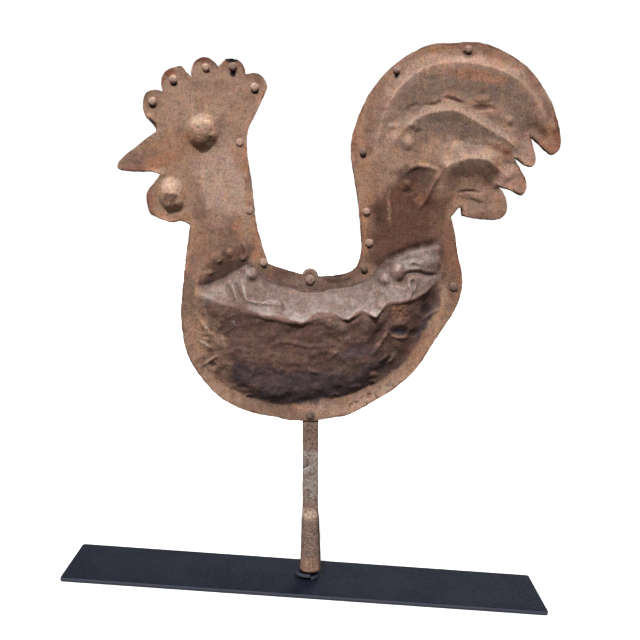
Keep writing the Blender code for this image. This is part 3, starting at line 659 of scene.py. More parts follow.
def paint_breast(colour, points, wander, seed):
    """Dark belly and dusty shelf, with a painted shadow band under the neck's fold and a painted
    highlight along the crest; gives the shares of both back with the colour.
    """
    u, v = wander[:, 0], wander[:, 1]
    low, top = along_u(BODY_LOW, u), along_u(BODY_TOP, u)
    edge = np.interp(-v, [-spot[1] for spot in PATINA_EDGE], [spot[0] for spot in PATINA_EDGE])
    crest = along_u(BODY_CREST, points[:, 0])
    soft = 1.0 + 9.0 * (1 - ramp(u, *SHARP_FROM))
    above = ramp(points[:, 1], crest - soft, crest + 1.5 * soft)
    lip = along_u(BODY_TOP, points[:, 0])
    crisp = ramp(points[:, 0], -122, -112) * (1 - ramp(points[:, 0], -72, -62))
    upper = (1 - ramp(v, top - 1, top + 5)) * (1 - crisp)
    upper += crisp * (1 - ramp(points[:, 1], lip - 0.5, lip + 1.5))
    body = ramp(v, low - 1, low + 3) * upper
    left = np.where(above > 0.5, ramp(u, -122, -106), ramp(u, edge - 8, edge + 8))
    body *= left * (1 - ramp(u, 129, 139))
    shelf = above * body
    below = (crest - v) / (crest - low)
    belly = blend_in(np.tile(np.array(PLUM), (len(points), 1)), SLATE, ramp(below, 0.50, 0.85))
    colour = colour + (belly - colour) * (0.95 * body)[:, None]
    colour = blend_in(colour, MAUVE, 0.95 * shelf)
    # Painted shadow: a dark band just above the breast's top edge, under the fold at the foot of
    # the neck
    shade = ramp(points[:, 1], lip, lip + 2) * (1 - ramp(v, lip + 5, lip + 15))
    colour = blend_in(colour, DEEP, 0.7 * crisp * shade)
    dusty = ramp(noise_field(points, 7, seed + 65), 0.0, 0.6)
    colour = blend_in(colour, CHALK_AND_HIGHLIGHT, 0.22 * dusty * shelf)
    # Painted highlight: a thin pale line just above the crest, broken into patches
    highlight_patches = ramp(noise_field(points, 18, seed + 61), -0.25, 0.4)
    crest_highlight = np.exp(-((points[:, 1] - crest - 1.6) / 1.5) ** 2) * ramp(u, -78, -64)
    colour = blend_in(colour, CHALK_AND_HIGHLIGHT, 0.5 * highlight_patches * crest_highlight * (1 - ramp(u, 70, 80)))
    return colour, body, shelf


def paint_wear(colour, points, proud, body, to_edge, seed):
    """Lighter high spots, painted shade in the hollows, and russet along the cut edges that is
    partly rust and partly painted shade; proud is height over its mean.
    """
    raised = np.clip(proud / 1.0, 0, 1)
    hollow_shade = np.clip(-proud / 1.2, 0, 1)
    for centre, radii, rise in BUMPS:
        if rise > DOME_RISE:
            wide = (1.7 * radii[0], 1.7 * radii[1])
            hollow_shade *= 1 - 0.9 * soft_spot(points, centre, wide, 0)
    colour = blend_in(colour, np.clip(colour * 1.35, 0, 1), 0.8 * raised)
    # Painted shade: darker in the hollows below the smoothed surface
    colour = colour * (1 - (0.45 - 0.2 * body) * hollow_shade)[:, None]
    # Russet along the cut edges: rust on the edges and painted shade along the outline
    edge_rust_and_shade = ramp(noise_field(points, 16, seed + 60), -0.1, 0.35)
    return blend_in(colour, RUSSET, 0.75 * edge_rust_and_shade * (1 - ramp(to_edge, 0.6, 3.0)))


def paint_feathers(colour, points, wander):
    """Painted light on each feather: a pale band outside its crest as a painted highlight where the
    surface faces up, and a dim grey fall inside it as painted shade.
    """
    for line, _, outer, inner in FEATHERS:
        away, side, along = chain_field(points, smooth_chain(line, 5.0))
        ends = ramp(along, 0.02, 0.2) * (1 - ramp(along, 0.86, 1.0))
        # Painted highlight on the outer band and painted shade on the inner fall
        band = ends * (side > 0) * (1 - ramp(away, 0.6 * outer, 1.2 * outer))
        dim = ends * (side <= 0) * (1 - ramp(away, 0.75 * inner, inner * 1.1))
        colour = blend_in(colour, BAND, 0.5 * band)
        colour = blend_in(colour, GREY, 0.85 * dim)
    return lay_spots(colour, wander, TAIL_SPOTS)


# Rust colours, as the share of light that each gives back
TAN = (0.50, 0.308, 0.218)
WARM = (0.50, 0.268, 0.165)
PALE = (0.64, 0.435, 0.335)
BAND = (0.50, 0.360, 0.292)
BROWN = (0.31, 0.182, 0.130)
OLIVE = (0.235, 0.158, 0.112)
UMBER = (0.165, 0.086, 0.062)
RUSSET = (0.170, 0.080, 0.054)
DEEP = (0.100, 0.054, 0.043)
PLUM = (0.192, 0.109, 0.090)
SLATE = (0.120, 0.084, 0.092)
GREY = (0.325, 0.218, 0.170)
MAUVE = (0.258, 0.176, 0.152)
OCHRE = (0.50, 0.250, 0.155)
ROSE = (0.58, 0.335, 0.250)
TERRA = (0.315, 0.160, 0.105)
RED = (0.34, 0.115, 0.075)
CREAM = (0.62, 0.48, 0.37)
# The pale of chalky dust, used also for painted highlights and glints
CHALK_AND_HIGHLIGHT = (0.50, 0.42, 0.39)
BLACK = (0.012, 0.010, 0.010)
WARM_CAST = (1.07, 0.99, 0.89)
COOL_CAST = (0.87, 0.87, 0.93)

# Where the flange is salted with dark pits: centre, half sizes and turn
SALTED = ((66, 122), (44, 14), 24)

# Each spot: colour, strength, centre, half sizes and turn in degrees
# Among these spots is painted light: pale and cream highlights on the tops of the eye and wattle
# domes and of the bump at the foot of the neck; dark on the lower halves of both domes, partly
# their own darker rust and partly painted shade; and a dark painted shadow band under the fold at
# the foot of the neck
GROUND_SPOTS = [
    (PALE, 0.30, (-104, 432), (58, 42), 0), (PALE, 0.30, (-88, 352), (40, 66), 0),
    (WARM, 0.8, (-142, 384), (44, 20), 25), (BROWN, 0.75, (-174, 374), (26, 9), 22),
    (OCHRE, 0.8, (-152, 372), (26, 8), 15), (RED, 0.55, (-172, 364), (26, 3.5), 3),
    (BROWN, 0.5, (-186, 378), (14, 5), 40), (PALE, 0.9, (-88, 346), (40, 46), 0),
    (CREAM, 0.45, (-112, 412), (13, 9), 0), (UMBER, 0.62, (-109, 391.5), (17, 9.5), 0),
    (PALE, 0.5, (-104, 258), (5, 3), 0), (PALE, 0.7, (-144, 348), (13, 10), 0),
    (UMBER, 0.6, (-142, 331), (13, 6), 0), (OCHRE, 0.5, (-70, 374), (12, 22), 0),
    (PALE, 0.3, (-112, 292), (8, 20), 0), (OCHRE, 0.35, (-112, 294), (5, 20), 0),
    (OCHRE, 0.5, (-76, 306), (4, 20), 6), (PALE, 0.5, (-66.5, 290), (1.8, 22), 2),
    (OLIVE, 0.5, (-65, 294), (2.5, 8), 4), (CREAM, 0.4, (-144, 350), (7, 6), 0),
    (RED, 0.55, (-166, 328), (7, 20), 8), (OCHRE, 0.5, (-148, 313), (24, 5), -6),
    (OCHRE, 0.5, (-127, 315), (8, 7), 0), (RED, 0.85, (-144, 463), (10, 6), -25),
    (RED, 0.85, (-114, 472), (12, 5), 0), (RED, 0.45, (-150, 452), (5, 8), 0),
    (PALE, 0.4, (-108, 466), (9, 7), 0), (UMBER, 0.55, (-97, 472), (9, 7), 0),
    (RED, 0.4, (-70, 470), (6, 6), 0), (UMBER, 0.5, (-56, 457), (14, 7), -25),
    (BROWN, 0.45, (-100, 448), (30, 9), 0), (OLIVE, 0.5, (-165, 439), (9, 6), -30),
    (OLIVE, 0.45, (-167, 430), (4, 12), 0), (OCHRE, 0.35, (-95, 432), (20, 7), -10),
    (BROWN, 0.35, (-84, 405), (16, 12), 0), (BROWN, 0.35, (-128, 400), (9, 14), 0),
    (BROWN, 0.3, (-72, 430), (14, 20), -30), (BROWN, 0.5, (-96, 310), (30, 18), -10),
    (BROWN, 0.7, (-114, 330), (9, 24), 0), (BROWN, 0.4, (-120, 345), (9, 14), 0),
    (OLIVE, 0.5, (-84, 294), (8, 16), 0), (BROWN, 0.8, (-90, 282), (40, 26), 0),
    (OCHRE, 0.6, (-64, 345), (5, 30), 3), (OCHRE, 0.6, (-64, 372), (6, 14), 4),
    (OCHRE, 0.65, (-73, 304), (6, 16), 4), (WARM, 0.85, (-57, 288), (7, 24), 12),
    (WARM, 0.75, (-118, 292), (8, 18), 0), (OCHRE, 0.45, (-109, 284), (4, 22), 2),
    (BROWN, 0.5, (-122, 262), (8, 16), 0), (UMBER, 0.75, (-84, 268), (34, 15), 26),
    (DEEP, 0.85, (-92, 256), (34, 9), 26), (DEEP, 0.7, (-104, 247), (12, 6), 5),
    (DEEP, 0.6, (-72, 268), (9, 5), 0), (UMBER, 0.4, (-106, 262), (12, 6), 0),
    (UMBER, 0.45, (10, 255), (70, 9), 0), (MAUVE, 0.85, (5, 246), (68, 13), 0),
    (UMBER, 0.5, (10, 258), (60, 7), 0), (UMBER, 0.6, (-40, 258), (26, 11), -18),
    (OLIVE, 0.6, (-128, 236), (9, 28), 0), (OLIVE, 0.35, (-114, 160), (14, 18), 20),
    (BROWN, 0.8, (-40, 108), (76, 11), -6), (BROWN, 0.65, (-129, 205), (11, 60), 0),
    (PALE, 0.5, (66, 122), (40, 12), 24), (PALE, 0.3, (14, 110), (34, 9), 0),
    (CREAM, 0.3, (84, 136), (14, 7), 32), (RED, 0.4, (62, 126), (3, 7), 10),
    (OCHRE, 0.45, (118, 178), (14, 36), -30), (TERRA, 0.9, (150, 262), (12, 50), 4),
    (BROWN, 0.5, (148, 222), (9, 26), -20), (OLIVE, 0.4, (147, 252), (5, 30), 4),
]
TAIL_SPOTS = [
    (ROSE, 0.35, (150, 480), (110, 26), 0), (ROSE, 0.35, (60, 420), (30, 60), -15),
    (BROWN, 0.5, (140, 485), (66, 8), 0), (PALE, 0.75, (170, 384), (48, 13), -10),
    (ROSE, 0.8, (204, 366), (24, 22), -35), (ROSE, 0.9, (222, 384), (14, 19), 10),
    (ROSE, 0.5, (184, 330), (20, 16), 0), (ROSE, 0.4, (238, 418), (14, 26), 20),
    (WARM, 0.5, (52, 400), (12, 66), -2), (RED, 0.4, (46, 388), (3, 34), 0),
    (BROWN, 0.5, (66, 420), (10, 40), -14), (OCHRE, 0.4, (62, 352), (10, 44), 0),
    (PALE, 0.35, (96, 404), (28, 14), 30), (CREAM, 0.3, (86, 408), (13, 5), 35),
    (WARM, 0.45, (92, 388), (22, 24), 0), (PALE, 0.4, (90, 384), (22, 24), 0),
    (WARM, 0.65, (128, 484), (34, 7), 3), (OCHRE, 0.55, (196, 472), (22, 8), -20),
    (RED, 0.5, (162, 489), (32, 3.5), 0), (RED, 0.5, (228, 452), (16, 6), -50),
    (RED, 0.3, (196, 474), (5, 3), 0), (OCHRE, 0.9, (172, 456), (35, 7.5), -8),
    (OLIVE, 0.35, (180, 440), (46, 9), -8), (OLIVE, 0.35, (112, 440), (24, 12), 30),
    (UMBER, 0.5, (178, 425), (16, 5), -8), (OLIVE, 0.35, (222, 425), (14, 20), 30),
    (GREY, 0.5, (146, 404), (44, 14), -14), (OLIVE, 0.5, (162, 396), (26, 7), -15),
    (OLIVE, 0.4, (142, 414), (30, 5), -4), (PALE, 0.5, (164, 383), (34, 9), -4),
    (PALE, 0.5, (176, 326), (24, 12), 0), (WARM, 0.35, (205, 366), (22, 16), -35),
    (PALE, 0.95, (208, 357), (17, 21), -35), (OCHRE, 0.45, (213, 350), (12, 16), -20),
    (OCHRE, 0.45, (192, 386), (18, 4), -10), (RED, 0.65, (205, 380), (10, 3.5), -40),
    (RED, 0.65, (228, 384), (6, 18), 10), (PALE, 0.7, (220, 380), (13, 17), 0),
    (ROSE, 0.5, (222, 384), (12, 16), 0), (CREAM, 0.2, (220, 384), (13, 17), 0),
    (ROSE, 0.45, (208, 356), (16, 20), -35), (OCHRE, 0.8, (245, 394), (11, 17), 0),
    (RED, 0.8, (255, 402), (5, 24), 8), (RED, 0.6, (250, 384), (9, 6), 0),
    (UMBER, 0.55, (243, 425), (6, 14), 20), (BROWN, 0.6, (237, 412), (8, 17), 15),
    (BROWN, 0.45, (222, 446), (9, 24), 45), (PALE, 0.6, (147, 372), (17, 8), 15),
    (BROWN, 0.6, (160, 350), (38, 18), 4), (UMBER, 0.6, (162, 362), (28, 7), 4),
    (UMBER, 0.5, (187, 354), (12, 9), -30), (UMBER, 0.4, (146, 350), (10, 16), -30),
    (BROWN, 0.45, (176, 326), (34, 16), 0), (WARM, 0.35, (150, 332), (22, 8), -6),
    (UMBER, 0.5, (185, 315), (28, 5), 2), (DEEP, 0.75, (110, 355), (28, 15), -6),
    (UMBER, 0.85, (104, 340), (26, 18), 0), (PALE, 0.3, (116, 338), (4, 14), -35),
    (RUSSET, 0.95, (103, 318), (54, 38), 0), (RUSSET, 0.95, (98, 284), (64, 34), 0),
    (DEEP, 0.5, (72, 322), (9, 17), 0), (BROWN, 0.45, (62, 280), (8, 24), 0),
    (TAN, 0.45, (82.5, 324), (1.8, 22), 0), (DEEP, 0.75, (98, 275), (44, 8), 12),
    (PLUM, 0.5, (112, 294), (26, 8), 4), (WARM, 0.7, (54, 300), (7, 44), 0),
    (BROWN, 0.5, (134, 302), (14, 26), 0), (TERRA, 0.9, (148, 285), (11, 36), 4),
    (OCHRE, 0.35, (114, 332), (8, 8), 0), (UMBER, 0.2, (60, 266), (16, 12), 40),
    (RUSSET, 0.5, (104, 288), (34, 16), 8), (WARM, 0.4, (146, 318), (8, 8), 0),
]
# Many of the small pale spots below are painted highlights on the tops of bumps, on ridges and
# folds and along the crest, and the tiniest are painted glints; the thin dark marks under the crest
# and in the folds are painted shade
BODY_SPOTS = [
    (TAN, 0.6, (-118, 186), (20, 38), 4), (WARM, 0.35, (-118, 190), (10, 22), 0),
    (OLIVE, 0.35, (-100, 192), (9, 24), 10), (BROWN, 0.5, (-96, 164), (14, 18), 30),
    (BROWN, 0.5, (-92, 146), (14, 12), -30), (UMBER, 0.55, (-104, 174), (8, 4), 10),
    (UMBER, 0.6, (-116, 164), (9, 4), 20), (UMBER, 0.5, (-98, 149), (6, 7), 0),
    (UMBER, 0.4, (-71, 136), (9, 3.5), 0), (UMBER, 0.3, (-82, 141), (6, 3), 0),
    (BROWN, 0.5, (-61, 136), (6, 5), 0), (PALE, 0.4, (-107, 196), (3, 11), 38),
    (CHALK_AND_HIGHLIGHT, 0.45, (-110, 181), (8, 2.5), -25), (CHALK_AND_HIGHLIGHT, 0.5, (-108, 162), (10, 1.4), 30),
    (MAUVE, 0.4, (-100, 232), (26, 10), 12), (CHALK_AND_HIGHLIGHT, 0.3, (-101, 236), (18, 9), 10),
    (PLUM, 0.35, (0, 239), (66, 7), 0), (SLATE, 0.6, (-44, 154), (22, 7), 0),
    (SLATE, 0.6, (-72, 156), (12, 7), 0), (SLATE, 0.8, (0, 146), (44, 10), 4),
    (SLATE, 0.4, (-22, 124), (60, 10), 0), (DEEP, 0.2, (30, 140), (44, 14), 14),
    (BROWN, 0.3, (-64, 130), (16, 7), -20), (BROWN, 0.6, (72, 146), (14, 10), 30),
    (UMBER, 0.5, (4, 188), (12, 5), 0), (UMBER, 0.5, (-6, 205), (36, 4), -3),
    (DEEP, 0.55, (40, 206), (10, 2.2), 0), (MAUVE, 0.55, (22, 206), (10, 5), 10),
    (MAUVE, 0.5, (34, 200), (7, 7), 0), (MAUVE, 0.6, (57, 203), (5, 11), -12),
    (SLATE, 0.7, (50, 176), (24, 9), 18), (DEEP, 0.7, (69, 196), (8, 24), -30),
    (BROWN, 0.4, (24, 176), (12, 6), 35), (BROWN, 0.4, (-52, 170), (28, 7), 0),
    (OLIVE, 0.5, (40, 160), (26, 8), 10), (BROWN, 0.3, (-16, 166), (20, 6), 10),
    (BROWN, 0.3, (-34, 162), (5, 8), 0), (DEEP, 0.35, (-22, 160), (9, 4), 0),
    (BROWN, 0.5, (74, 186), (3, 16), -32), (OCHRE, 0.55, (92, 216), (13, 11), -10),
    (BROWN, 0.6, (98, 178), (24, 24), 30), (TAN, 0.35, (112, 166), (12, 24), -38),
    (OCHRE, 0.35, (112, 176), (14, 12), 40), (SLATE, 0.9, (92, 197), (12, 6), -4),
    (DEEP, 0.8, (108, 194), (9, 4), 12), (BLACK, 0.35, (95, 198), (9, 4), 0),
    (BLACK, 0.4, (121, 218), (10, 6), 20), (DEEP, 0.5, (126, 231), (14, 11), 30),
    (BLACK, 0.2, (118, 232), (10, 4), 20), (BLACK, 0.4, (76, 165), (6, 2), 40),
    (SLATE, 0.6, (74, 158), (10, 7), 20), (DEEP, 0.6, (64, 142), (5, 5), 0),
    (OCHRE, 0.4, (67, 149), (5, 4), 0), (UMBER, 0.5, (86, 158), (10, 6), 30),
    (UMBER, 0.6, (137, 262), (5, 22), 6), (TAN, 0.3, (-4, 236), (24, 4), -4),
    (CHALK_AND_HIGHLIGHT, 0.5, (-8, 213), (14, 5), 10), (CHALK_AND_HIGHLIGHT, 0.35, (-48, 219), (24, 4), -12),
    (CHALK_AND_HIGHLIGHT, 0.45, (67, 217), (8, 4), 30), (CHALK_AND_HIGHLIGHT, 0.35, (104, 240), (5, 12), 0),
    (CHALK_AND_HIGHLIGHT, 0.55, (-68, 240), (2.2, 13), 12), (UMBER, 0.55, (-80, 236), (2.0, 12), 24),
    (UMBER, 0.35, (-73.5, 238), (1.6, 11), 20), (CHALK_AND_HIGHLIGHT, 0.5, (-46, 226.5), (19, 1.8), -5),
    (MAUVE, 0.5, (112, 240), (20, 8), 10), (CHALK_AND_HIGHLIGHT, 0.3, (112, 268), (26, 10), 10),
    (CHALK_AND_HIGHLIGHT, 0.4, (78, 253), (4, 4), 0), (CHALK_AND_HIGHLIGHT, 0.4, (-62, 258), (4, 3.5), 0),
    (CHALK_AND_HIGHLIGHT, 0.35, (90, 263), (6, 4), 0), (CHALK_AND_HIGHLIGHT, 0.9, (-79, 207), (1.1, 3), 0),
    (CHALK_AND_HIGHLIGHT, 0.7, (-74, 200), (2, 2), 0), (CHALK_AND_HIGHLIGHT, 0.6, (-61, 149), (2.2, 1.4), 0),
    (CHALK_AND_HIGHLIGHT, 0.8, (38, 191), (1.6, 1.4), 0), (CHALK_AND_HIGHLIGHT, 0.6, (42, 189), (1.4, 1.6), 0),
    (CHALK_AND_HIGHLIGHT, 0.4, (-19, 122), (1.2, 2), 0),
]
# The last marks: painted shadows under the rivet heads, under the bump at the foot of the neck and
# under the strap's lower rivet; painted shade in the gaps where the sheets stand apart and in the
# tail's nicks; and a few dark stains
SHADOW_AND_STAIN_SPOTS = [
    (BLACK, 1.0, (-79.5, 474.2), (8.0, 4.6), -6), (BLACK, 1.0, (-78, 460.2), (4.2, 4.6), 0),
    (BLACK, 1.0, (-160.5, 427.4), (4.4, 3.0), 0), (BLACK, 1.0, (-138.5, 449.6), (4.4, 3.2), 0),
    (BLACK, 0.9, (-104.5, 462.4), (4.6, 2.2), -20), (BLACK, 1.0, (-55.5, 441.6), (4.6, 2.8), 0),
    (BLACK, 1.0, (88.9, 458.6), (2.6, 5.0), 0), (BLACK, 1.0, (160.5, 480.6), (6.0, 2.6), -12),
    (BLACK, 0.9, (55.0, 376.6), (3.8, 3.2), 0), (BLACK, 0.8, (59.2, 316.4), (2.8, 1.6), 0),
    (BLACK, 0.7, (61.6, 283.2), (2.2, 1.8), 0), (BLACK, 0.8, (56.6, 256.4), (3.2, 2.2), 0),
    (BLACK, 0.8, (-47.5, 262.8), (3.2, 2.0), 0), (BLACK, 0.7, (151.5, 237.4), (5.5, 1.6), -8),
    (BLACK, 0.6, (0.2, 100.0), (6.0, 1.8), 0), (BLACK, 0.8, (23.0, 253.5), (16, 1.4), 2),
    (BLACK, 0.9, (-161, 412), (6.5, 1.9), 134), (BLACK, 0.5, (101, 341), (8, 2.8), 0),
    (DEEP, 0.6, (110, 402), (5, 2.2), 10), (BLACK, 0.7, (193.5, 346), (3.2, 2.0), -40),
    (DEEP, 0.6, (150, 433), (12, 1.5), -14), (DEEP, 0.5, (122, 429), (10, 1.3), 0),
    (DEEP, 0.5, (207.5, 378), (4.5, 1.4), -55), (DEEP, 0.5, (-90, 277), (2, 6), -20),
    (DEEP, 0.5, (-75, 275.5), (2.4, 2.4), 0), (BLACK, 0.4, (-106, 247), (6, 2.4), 10),
    (DEEP, 0.5, (-27.5, 222), (1.0, 4), 0), (DEEP, 0.65, (-60, 248.5), (6.5, 2.2), 5),
]


def neighbour_mean(values, faces, rounds):
    """Average over the mesh's neighbours, a few times over."""
    count = len(values)
    pairs = np.vstack([faces[:, [0, 1]], faces[:, [1, 2]], faces[:, [2, 0]]])
    weight = np.bincount(pairs.ravel(), minlength=count)
    for _ in range(rounds):
        total = np.bincount(pairs[:, 0], values[pairs[:, 1]], minlength=count)
        total += np.bincount(pairs[:, 1], values[pairs[:, 0]], minlength=count)
        values = total / np.maximum(weight, 1)
    return values


def sheet_plan(loop, step):
    """Flat triangles of a sheet with its rivet holes."""
    places = np.array(list(RIVET_PLACES.values()))
    holes = [circle(place, RIVET_HOLE, 16) for place in places]
    loose = hex_grid(loop, step)
    loose = loose[nearest(loose, places) > RIVET_HOLE + 0.7 * step]
    return flat_plan([loop, *holes], loose)


def make_skin(name, side, node, seed):
    """One hammered half of the rooster; side is -1 in front and +1 behind."""
    front = side < 0
    shift = np.zeros(2) if front else np.array(REAR_SHIFT)
    loop = cut_wave(rooster_outline(EDGE_STEP) + shift, seed)
    if front:
        place, radius, bite = FRONT_BITE
        away = np.linalg.norm(loop - np.array(place), axis=1)
        loop[:, 1] -= bite * (1 - ramp(away, radius * 0.5, radius))
    plan, faces = sheet_plan(loop, SKIN_GRID)
    to_edge = nearest(plan, loop)
    wave = 0.5 + 0.5 * noise_field(plan, 34, seed + 5, 2)
    height = np.maximum(relief(plan, seed), 0)
    height += 0.9 * (1 - ramp(to_edge, 0.0, 9.0)) * np.clip(wave, 0, 1)
    if front:
        for centre, radii, rise in FRONT_LIFTS:
            height += bump(plan, centre, radii, rise)
    height = seated(plan, height)
    smooth = neighbour_mean(height, faces, 16)
    lining, lining_faces = sheet_plan(loop, LINING_GRID)
    low = np.maximum(body_relief(lining), tail_relief(lining)) - LINING_DROP
    low = seated(lining, LINING_SHARE * np.maximum(low, 0))
    rim = len(loop)
    low[:rim] = height[:rim]
    outer = np.column_stack([plan[:, 0], side * (HALF_GAP + height + SHEET), plan[:, 1]])
    inner = np.column_stack([lining[:, 0], side * (HALF_GAP + low), lining[:, 1]])
    points, polygons = closed_shell(to_world(outer), faces, to_world(inner), lining_faces)
    if not front:
        polygons = [polygon[::-1] for polygon in polygons]
    made = add_piece(name, points, polygons, "vane", node)
    colour, gloss = paint_sheet(plan, height, smooth, to_edge, seed)
    hidden = len(lining)
    paint = made.data.attributes.new("paint", "FLOAT_COLOR", "POINT")
    rgba = np.column_stack([colour, np.ones(len(colour))])
    # Painted shade: the inner faces are black for the dark between the two sheets; only their rim
    # keeps the outer colour
    lining_rgba = np.tile((*BLACK, 1.0), (hidden, 1))
    lining_rgba[:rim] = rgba[:rim]
    paint.data.foreach_set("color", np.vstack([rgba, lining_rgba]).astype(np.float32).ravel())
    keep_value(made, "shine", np.append(gloss, np.zeros(hidden)))
    return made


def circle(centre, radius, sides):
    """Points round a circle."""
    angles = 2 * math.pi * np.arange(sides) / sides
    return np.array(centre) + radius * np.column_stack([np.cos(angles), np.sin(angles)])


def add_piece(name, points, polygons, body, node):
    """A smooth-shaded mesh piece that rides on a body and stands for a CAD node."""
    mesh = bpy.data.meshes.new(name)
    mesh.from_pydata([tuple(p) for p in points], [], [tuple(int(i) for i in f) for f in polygons])
    bm = bmesh.new()
    bm.from_mesh(mesh)
    bmesh.ops.delete(bm, geom=[v for v in bm.verts if not v.link_faces], context="VERTS")
    bmesh.ops.recalc_face_normals(bm, faces=bm.faces)
    return place_piece(mesh, bm, body, node)


def place_piece(mesh, bm, body, node):
    """Put a built mesh in the scene as a piece of its body that replaces its CAD node."""
    bm.to_mesh(mesh)
    bm.free()
    mesh.shade_smooth()
    mesh.set_sharp_from_angle(angle=SHARP_ANGLE)
    piece = bpy.data.objects.new(mesh.name, mesh)
    bpy.context.scene.collection.objects.link(piece)
    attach(piece, body)
    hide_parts(node)
    return piece


# ------------------------------------------------------------------ rivets, stem, foot

RIVET_SHANK = 2.4
RIVET_UPSET = 3.9               # half width of the hammered tail
STRAP_ROUNDING = 1.5
STRAP_NICK = 1.7
SOCKET_SEAM = 0.7
SOCKET_SEAM_ANGLE = 1.9
NECK_TOP = 3.0
SHOULDER = -9.5
SHOULDER_RADIUS = 9.4
NECK_GRIP = 0.25                # how far the socket's neck stands off the strap
RING_BAR = (5.5, 4.0)           # width and height of the split ring's bar
RING_SPLIT = -72.0              # degrees
RING_GAP = 9.0
PLATE_CORNER = 0.0035
PLATE_EDGE = 0.0013


def revolve(profile, sides):
    """Rings of points and quads about the third axis; both ends close on the axis."""
    points, rings = [], []
    for radius, height in profile:
        start = len(points)
        if radius == 0:
            points.append((0.0, 0.0, height))
            rings.append([start] * sides)
            continue
        for k in range(sides):
            angle = 2 * math.pi * k / sides
            points.append((radius * math.cos(angle), radius * math.sin(angle), height))
        rings.append(list(range(start, start + sides)))
    return np.array(points), join_rings(rings)


def join_rings(rings):
    """Quads between each ring of points and the next; triangles where a ring is one point."""
    polygons = []
    for a, b in zip(rings, rings[1:]):
        for k in range(len(a)):
            j = (k + 1) % len(a)
            polygons.append(list(dict.fromkeys([a[k], a[j], b[j], b[k]])))
    return polygons


def keep_value(piece, name, values):
    """Store one number for each point of a piece, for its finish to read."""
    kept = piece.data.attributes.new(name, "FLOAT", "POINT")
    kept.data.foreach_set("value", np.asarray(values, np.float32))


# How light each rivet's rust is, beside the common tone
RIVET_TONES = {
    "comb_rivet_1": 1.15, "comb_rivet_2": 1.2, "comb_rivet_3": 1.3, "comb_rivet_4": 0.75,
    "comb_rivet_5": 1.3, "neck_rivet_upper": 1.25, "neck_rivet_lower": 0.9,
    "strap_rivet_top": 0.7, "strap_rivet_bottom": 0.4, "tail_rivet_1": 0.35,
    "tail_rivet_4": 0.5, "tail_rim_rivet_1": 0.85, "tail_rim_rivet_2": 0.85,
    "rear_edge_rivet": 0.45,
}


def make_rivet(node, seed):
    """Hand-set rivet: hammered head in front, shank, and an upset tail behind."""
    centre, size, low, high = node_in_vane(node)
    head = size[0] / 2
    channel = float(strap_channel(centre[[0, 2]][None])[0])
    face = HALF_GAP + channel + SHEET - 0.1
    rise = -low[1] - face
    back = high[1] - face
    dome_steps = 7
    profile = [(0.0, face + rise)]
    for k in range(1, dome_steps + 1):
        angle = math.pi / 2 * k / dome_steps
        profile.append((head * math.sin(angle) ** 0.8, face + rise * math.cos(angle) ** 0.75))
    profile += [(head * 0.97, face - 0.15), (RIVET_SHANK, face - 0.2),
                (RIVET_SHANK, -face + 0.2)]
    for k in range(4):
        angle = math.pi / 2 * (3 - k) / 3
        profile.append((RIVET_UPSET * math.sin(angle), -face - back * math.cos(angle)))
    points, polygons = revolve(profile, 36)
    lumps = np.array([noise.fractal(Vector(p) / 3.2 + Vector((seed * 7.7, 0, 0)), 0.9, 2.0, 3)
                      for p in points])
    sway = 1 + 0.06 * np.array([noise.noise(Vector((p[0] * 0.3, p[1] * 0.3, seed * 3.1)))
                                for p in points])
    points[:, :2] *= sway[:, None]
    outside = np.clip((np.abs(points[:, 2]) - face) / 0.6, 0, 1)
    points[:, 2] += 0.30 * lumps * outside * np.sign(points[:, 2])
    placed = np.column_stack([points[:, 0] + centre[0], -points[:, 2],
                              points[:, 1] + centre[2]])
    piece = add_piece(node + "_forged", to_world(placed), polygons, "vane", node)
    keep_value(piece, "tone", np.full(len(placed), RIVET_TONES.get(node, 1.0)))
    return piece


def make_strap():
    """Flat forged bar with soft edges, a rounded top and a chisel nick on one side."""
    _, _, low, high = node_in_vane("stem_strap")
    half = (high[0] - low[0]) / 2
    middle = (high[0] + low[0]) / 2
    top = high[2]
    step = 1.3
    foot = low[2]
    sides_v = np.arange(foot, top - half, step)
    outline = [(middle - half, v) for v in sides_v[::-1]]
    outline += [(middle + half, v) for v in sides_v]
    arc = np.arange(0.0, math.pi + 1e-6, step / half)
    outline += [(middle + half * math.cos(a), top - half + half * math.sin(a)) for a in arc]
    loop = np.array(outline)
    ahead = np.roll(loop, -1, axis=0) - np.roll(loop, 1, axis=0)
    wobble = 0.25 * noise_field(loop, 22, 71)
    normal = np.column_stack([ahead[:, 1], -ahead[:, 0]])
    loop = loop + normal / np.linalg.norm(normal, axis=1)[:, None] * wobble[:, None]
    plan, faces = flat_plan([loop], hex_grid(loop, step))
    edge = distance_to(plan, np.vstack([loop, loop[:1]]))
    thick = (high[1] - low[1]) / 2
    lean_in = np.clip(1 - edge / STRAP_ROUNDING, 0, 1)
    depth = thick - STRAP_ROUNDING * 0.75 * (1 - np.sqrt(1 - 0.999 * lean_in ** 2))
    nick = distance_to(plan, np.array([(middle - half - 1, 45.0), (middle - half + 5.5, 49.5)]))
    depth = depth - STRAP_NICK * np.exp(-(nick / 1.2) ** 2)
    dents = 0.22 * noise_field(plan, 9, 72) + 0.25 * (hammer_field(plan, 9, 73) - 0.3)
    outer = np.column_stack([plan[:, 0], -(depth + dents), plan[:, 1]])
    inner = np.column_stack([plan[:, 0], depth + 0.22 * noise_field(plan, 9, 74), plan[:, 1]])
    points, polygons = closed_shell(to_world(outer), faces, to_world(inner), faces)
    return add_piece("strap_forged", points, polygons, "vane", "stem_strap")


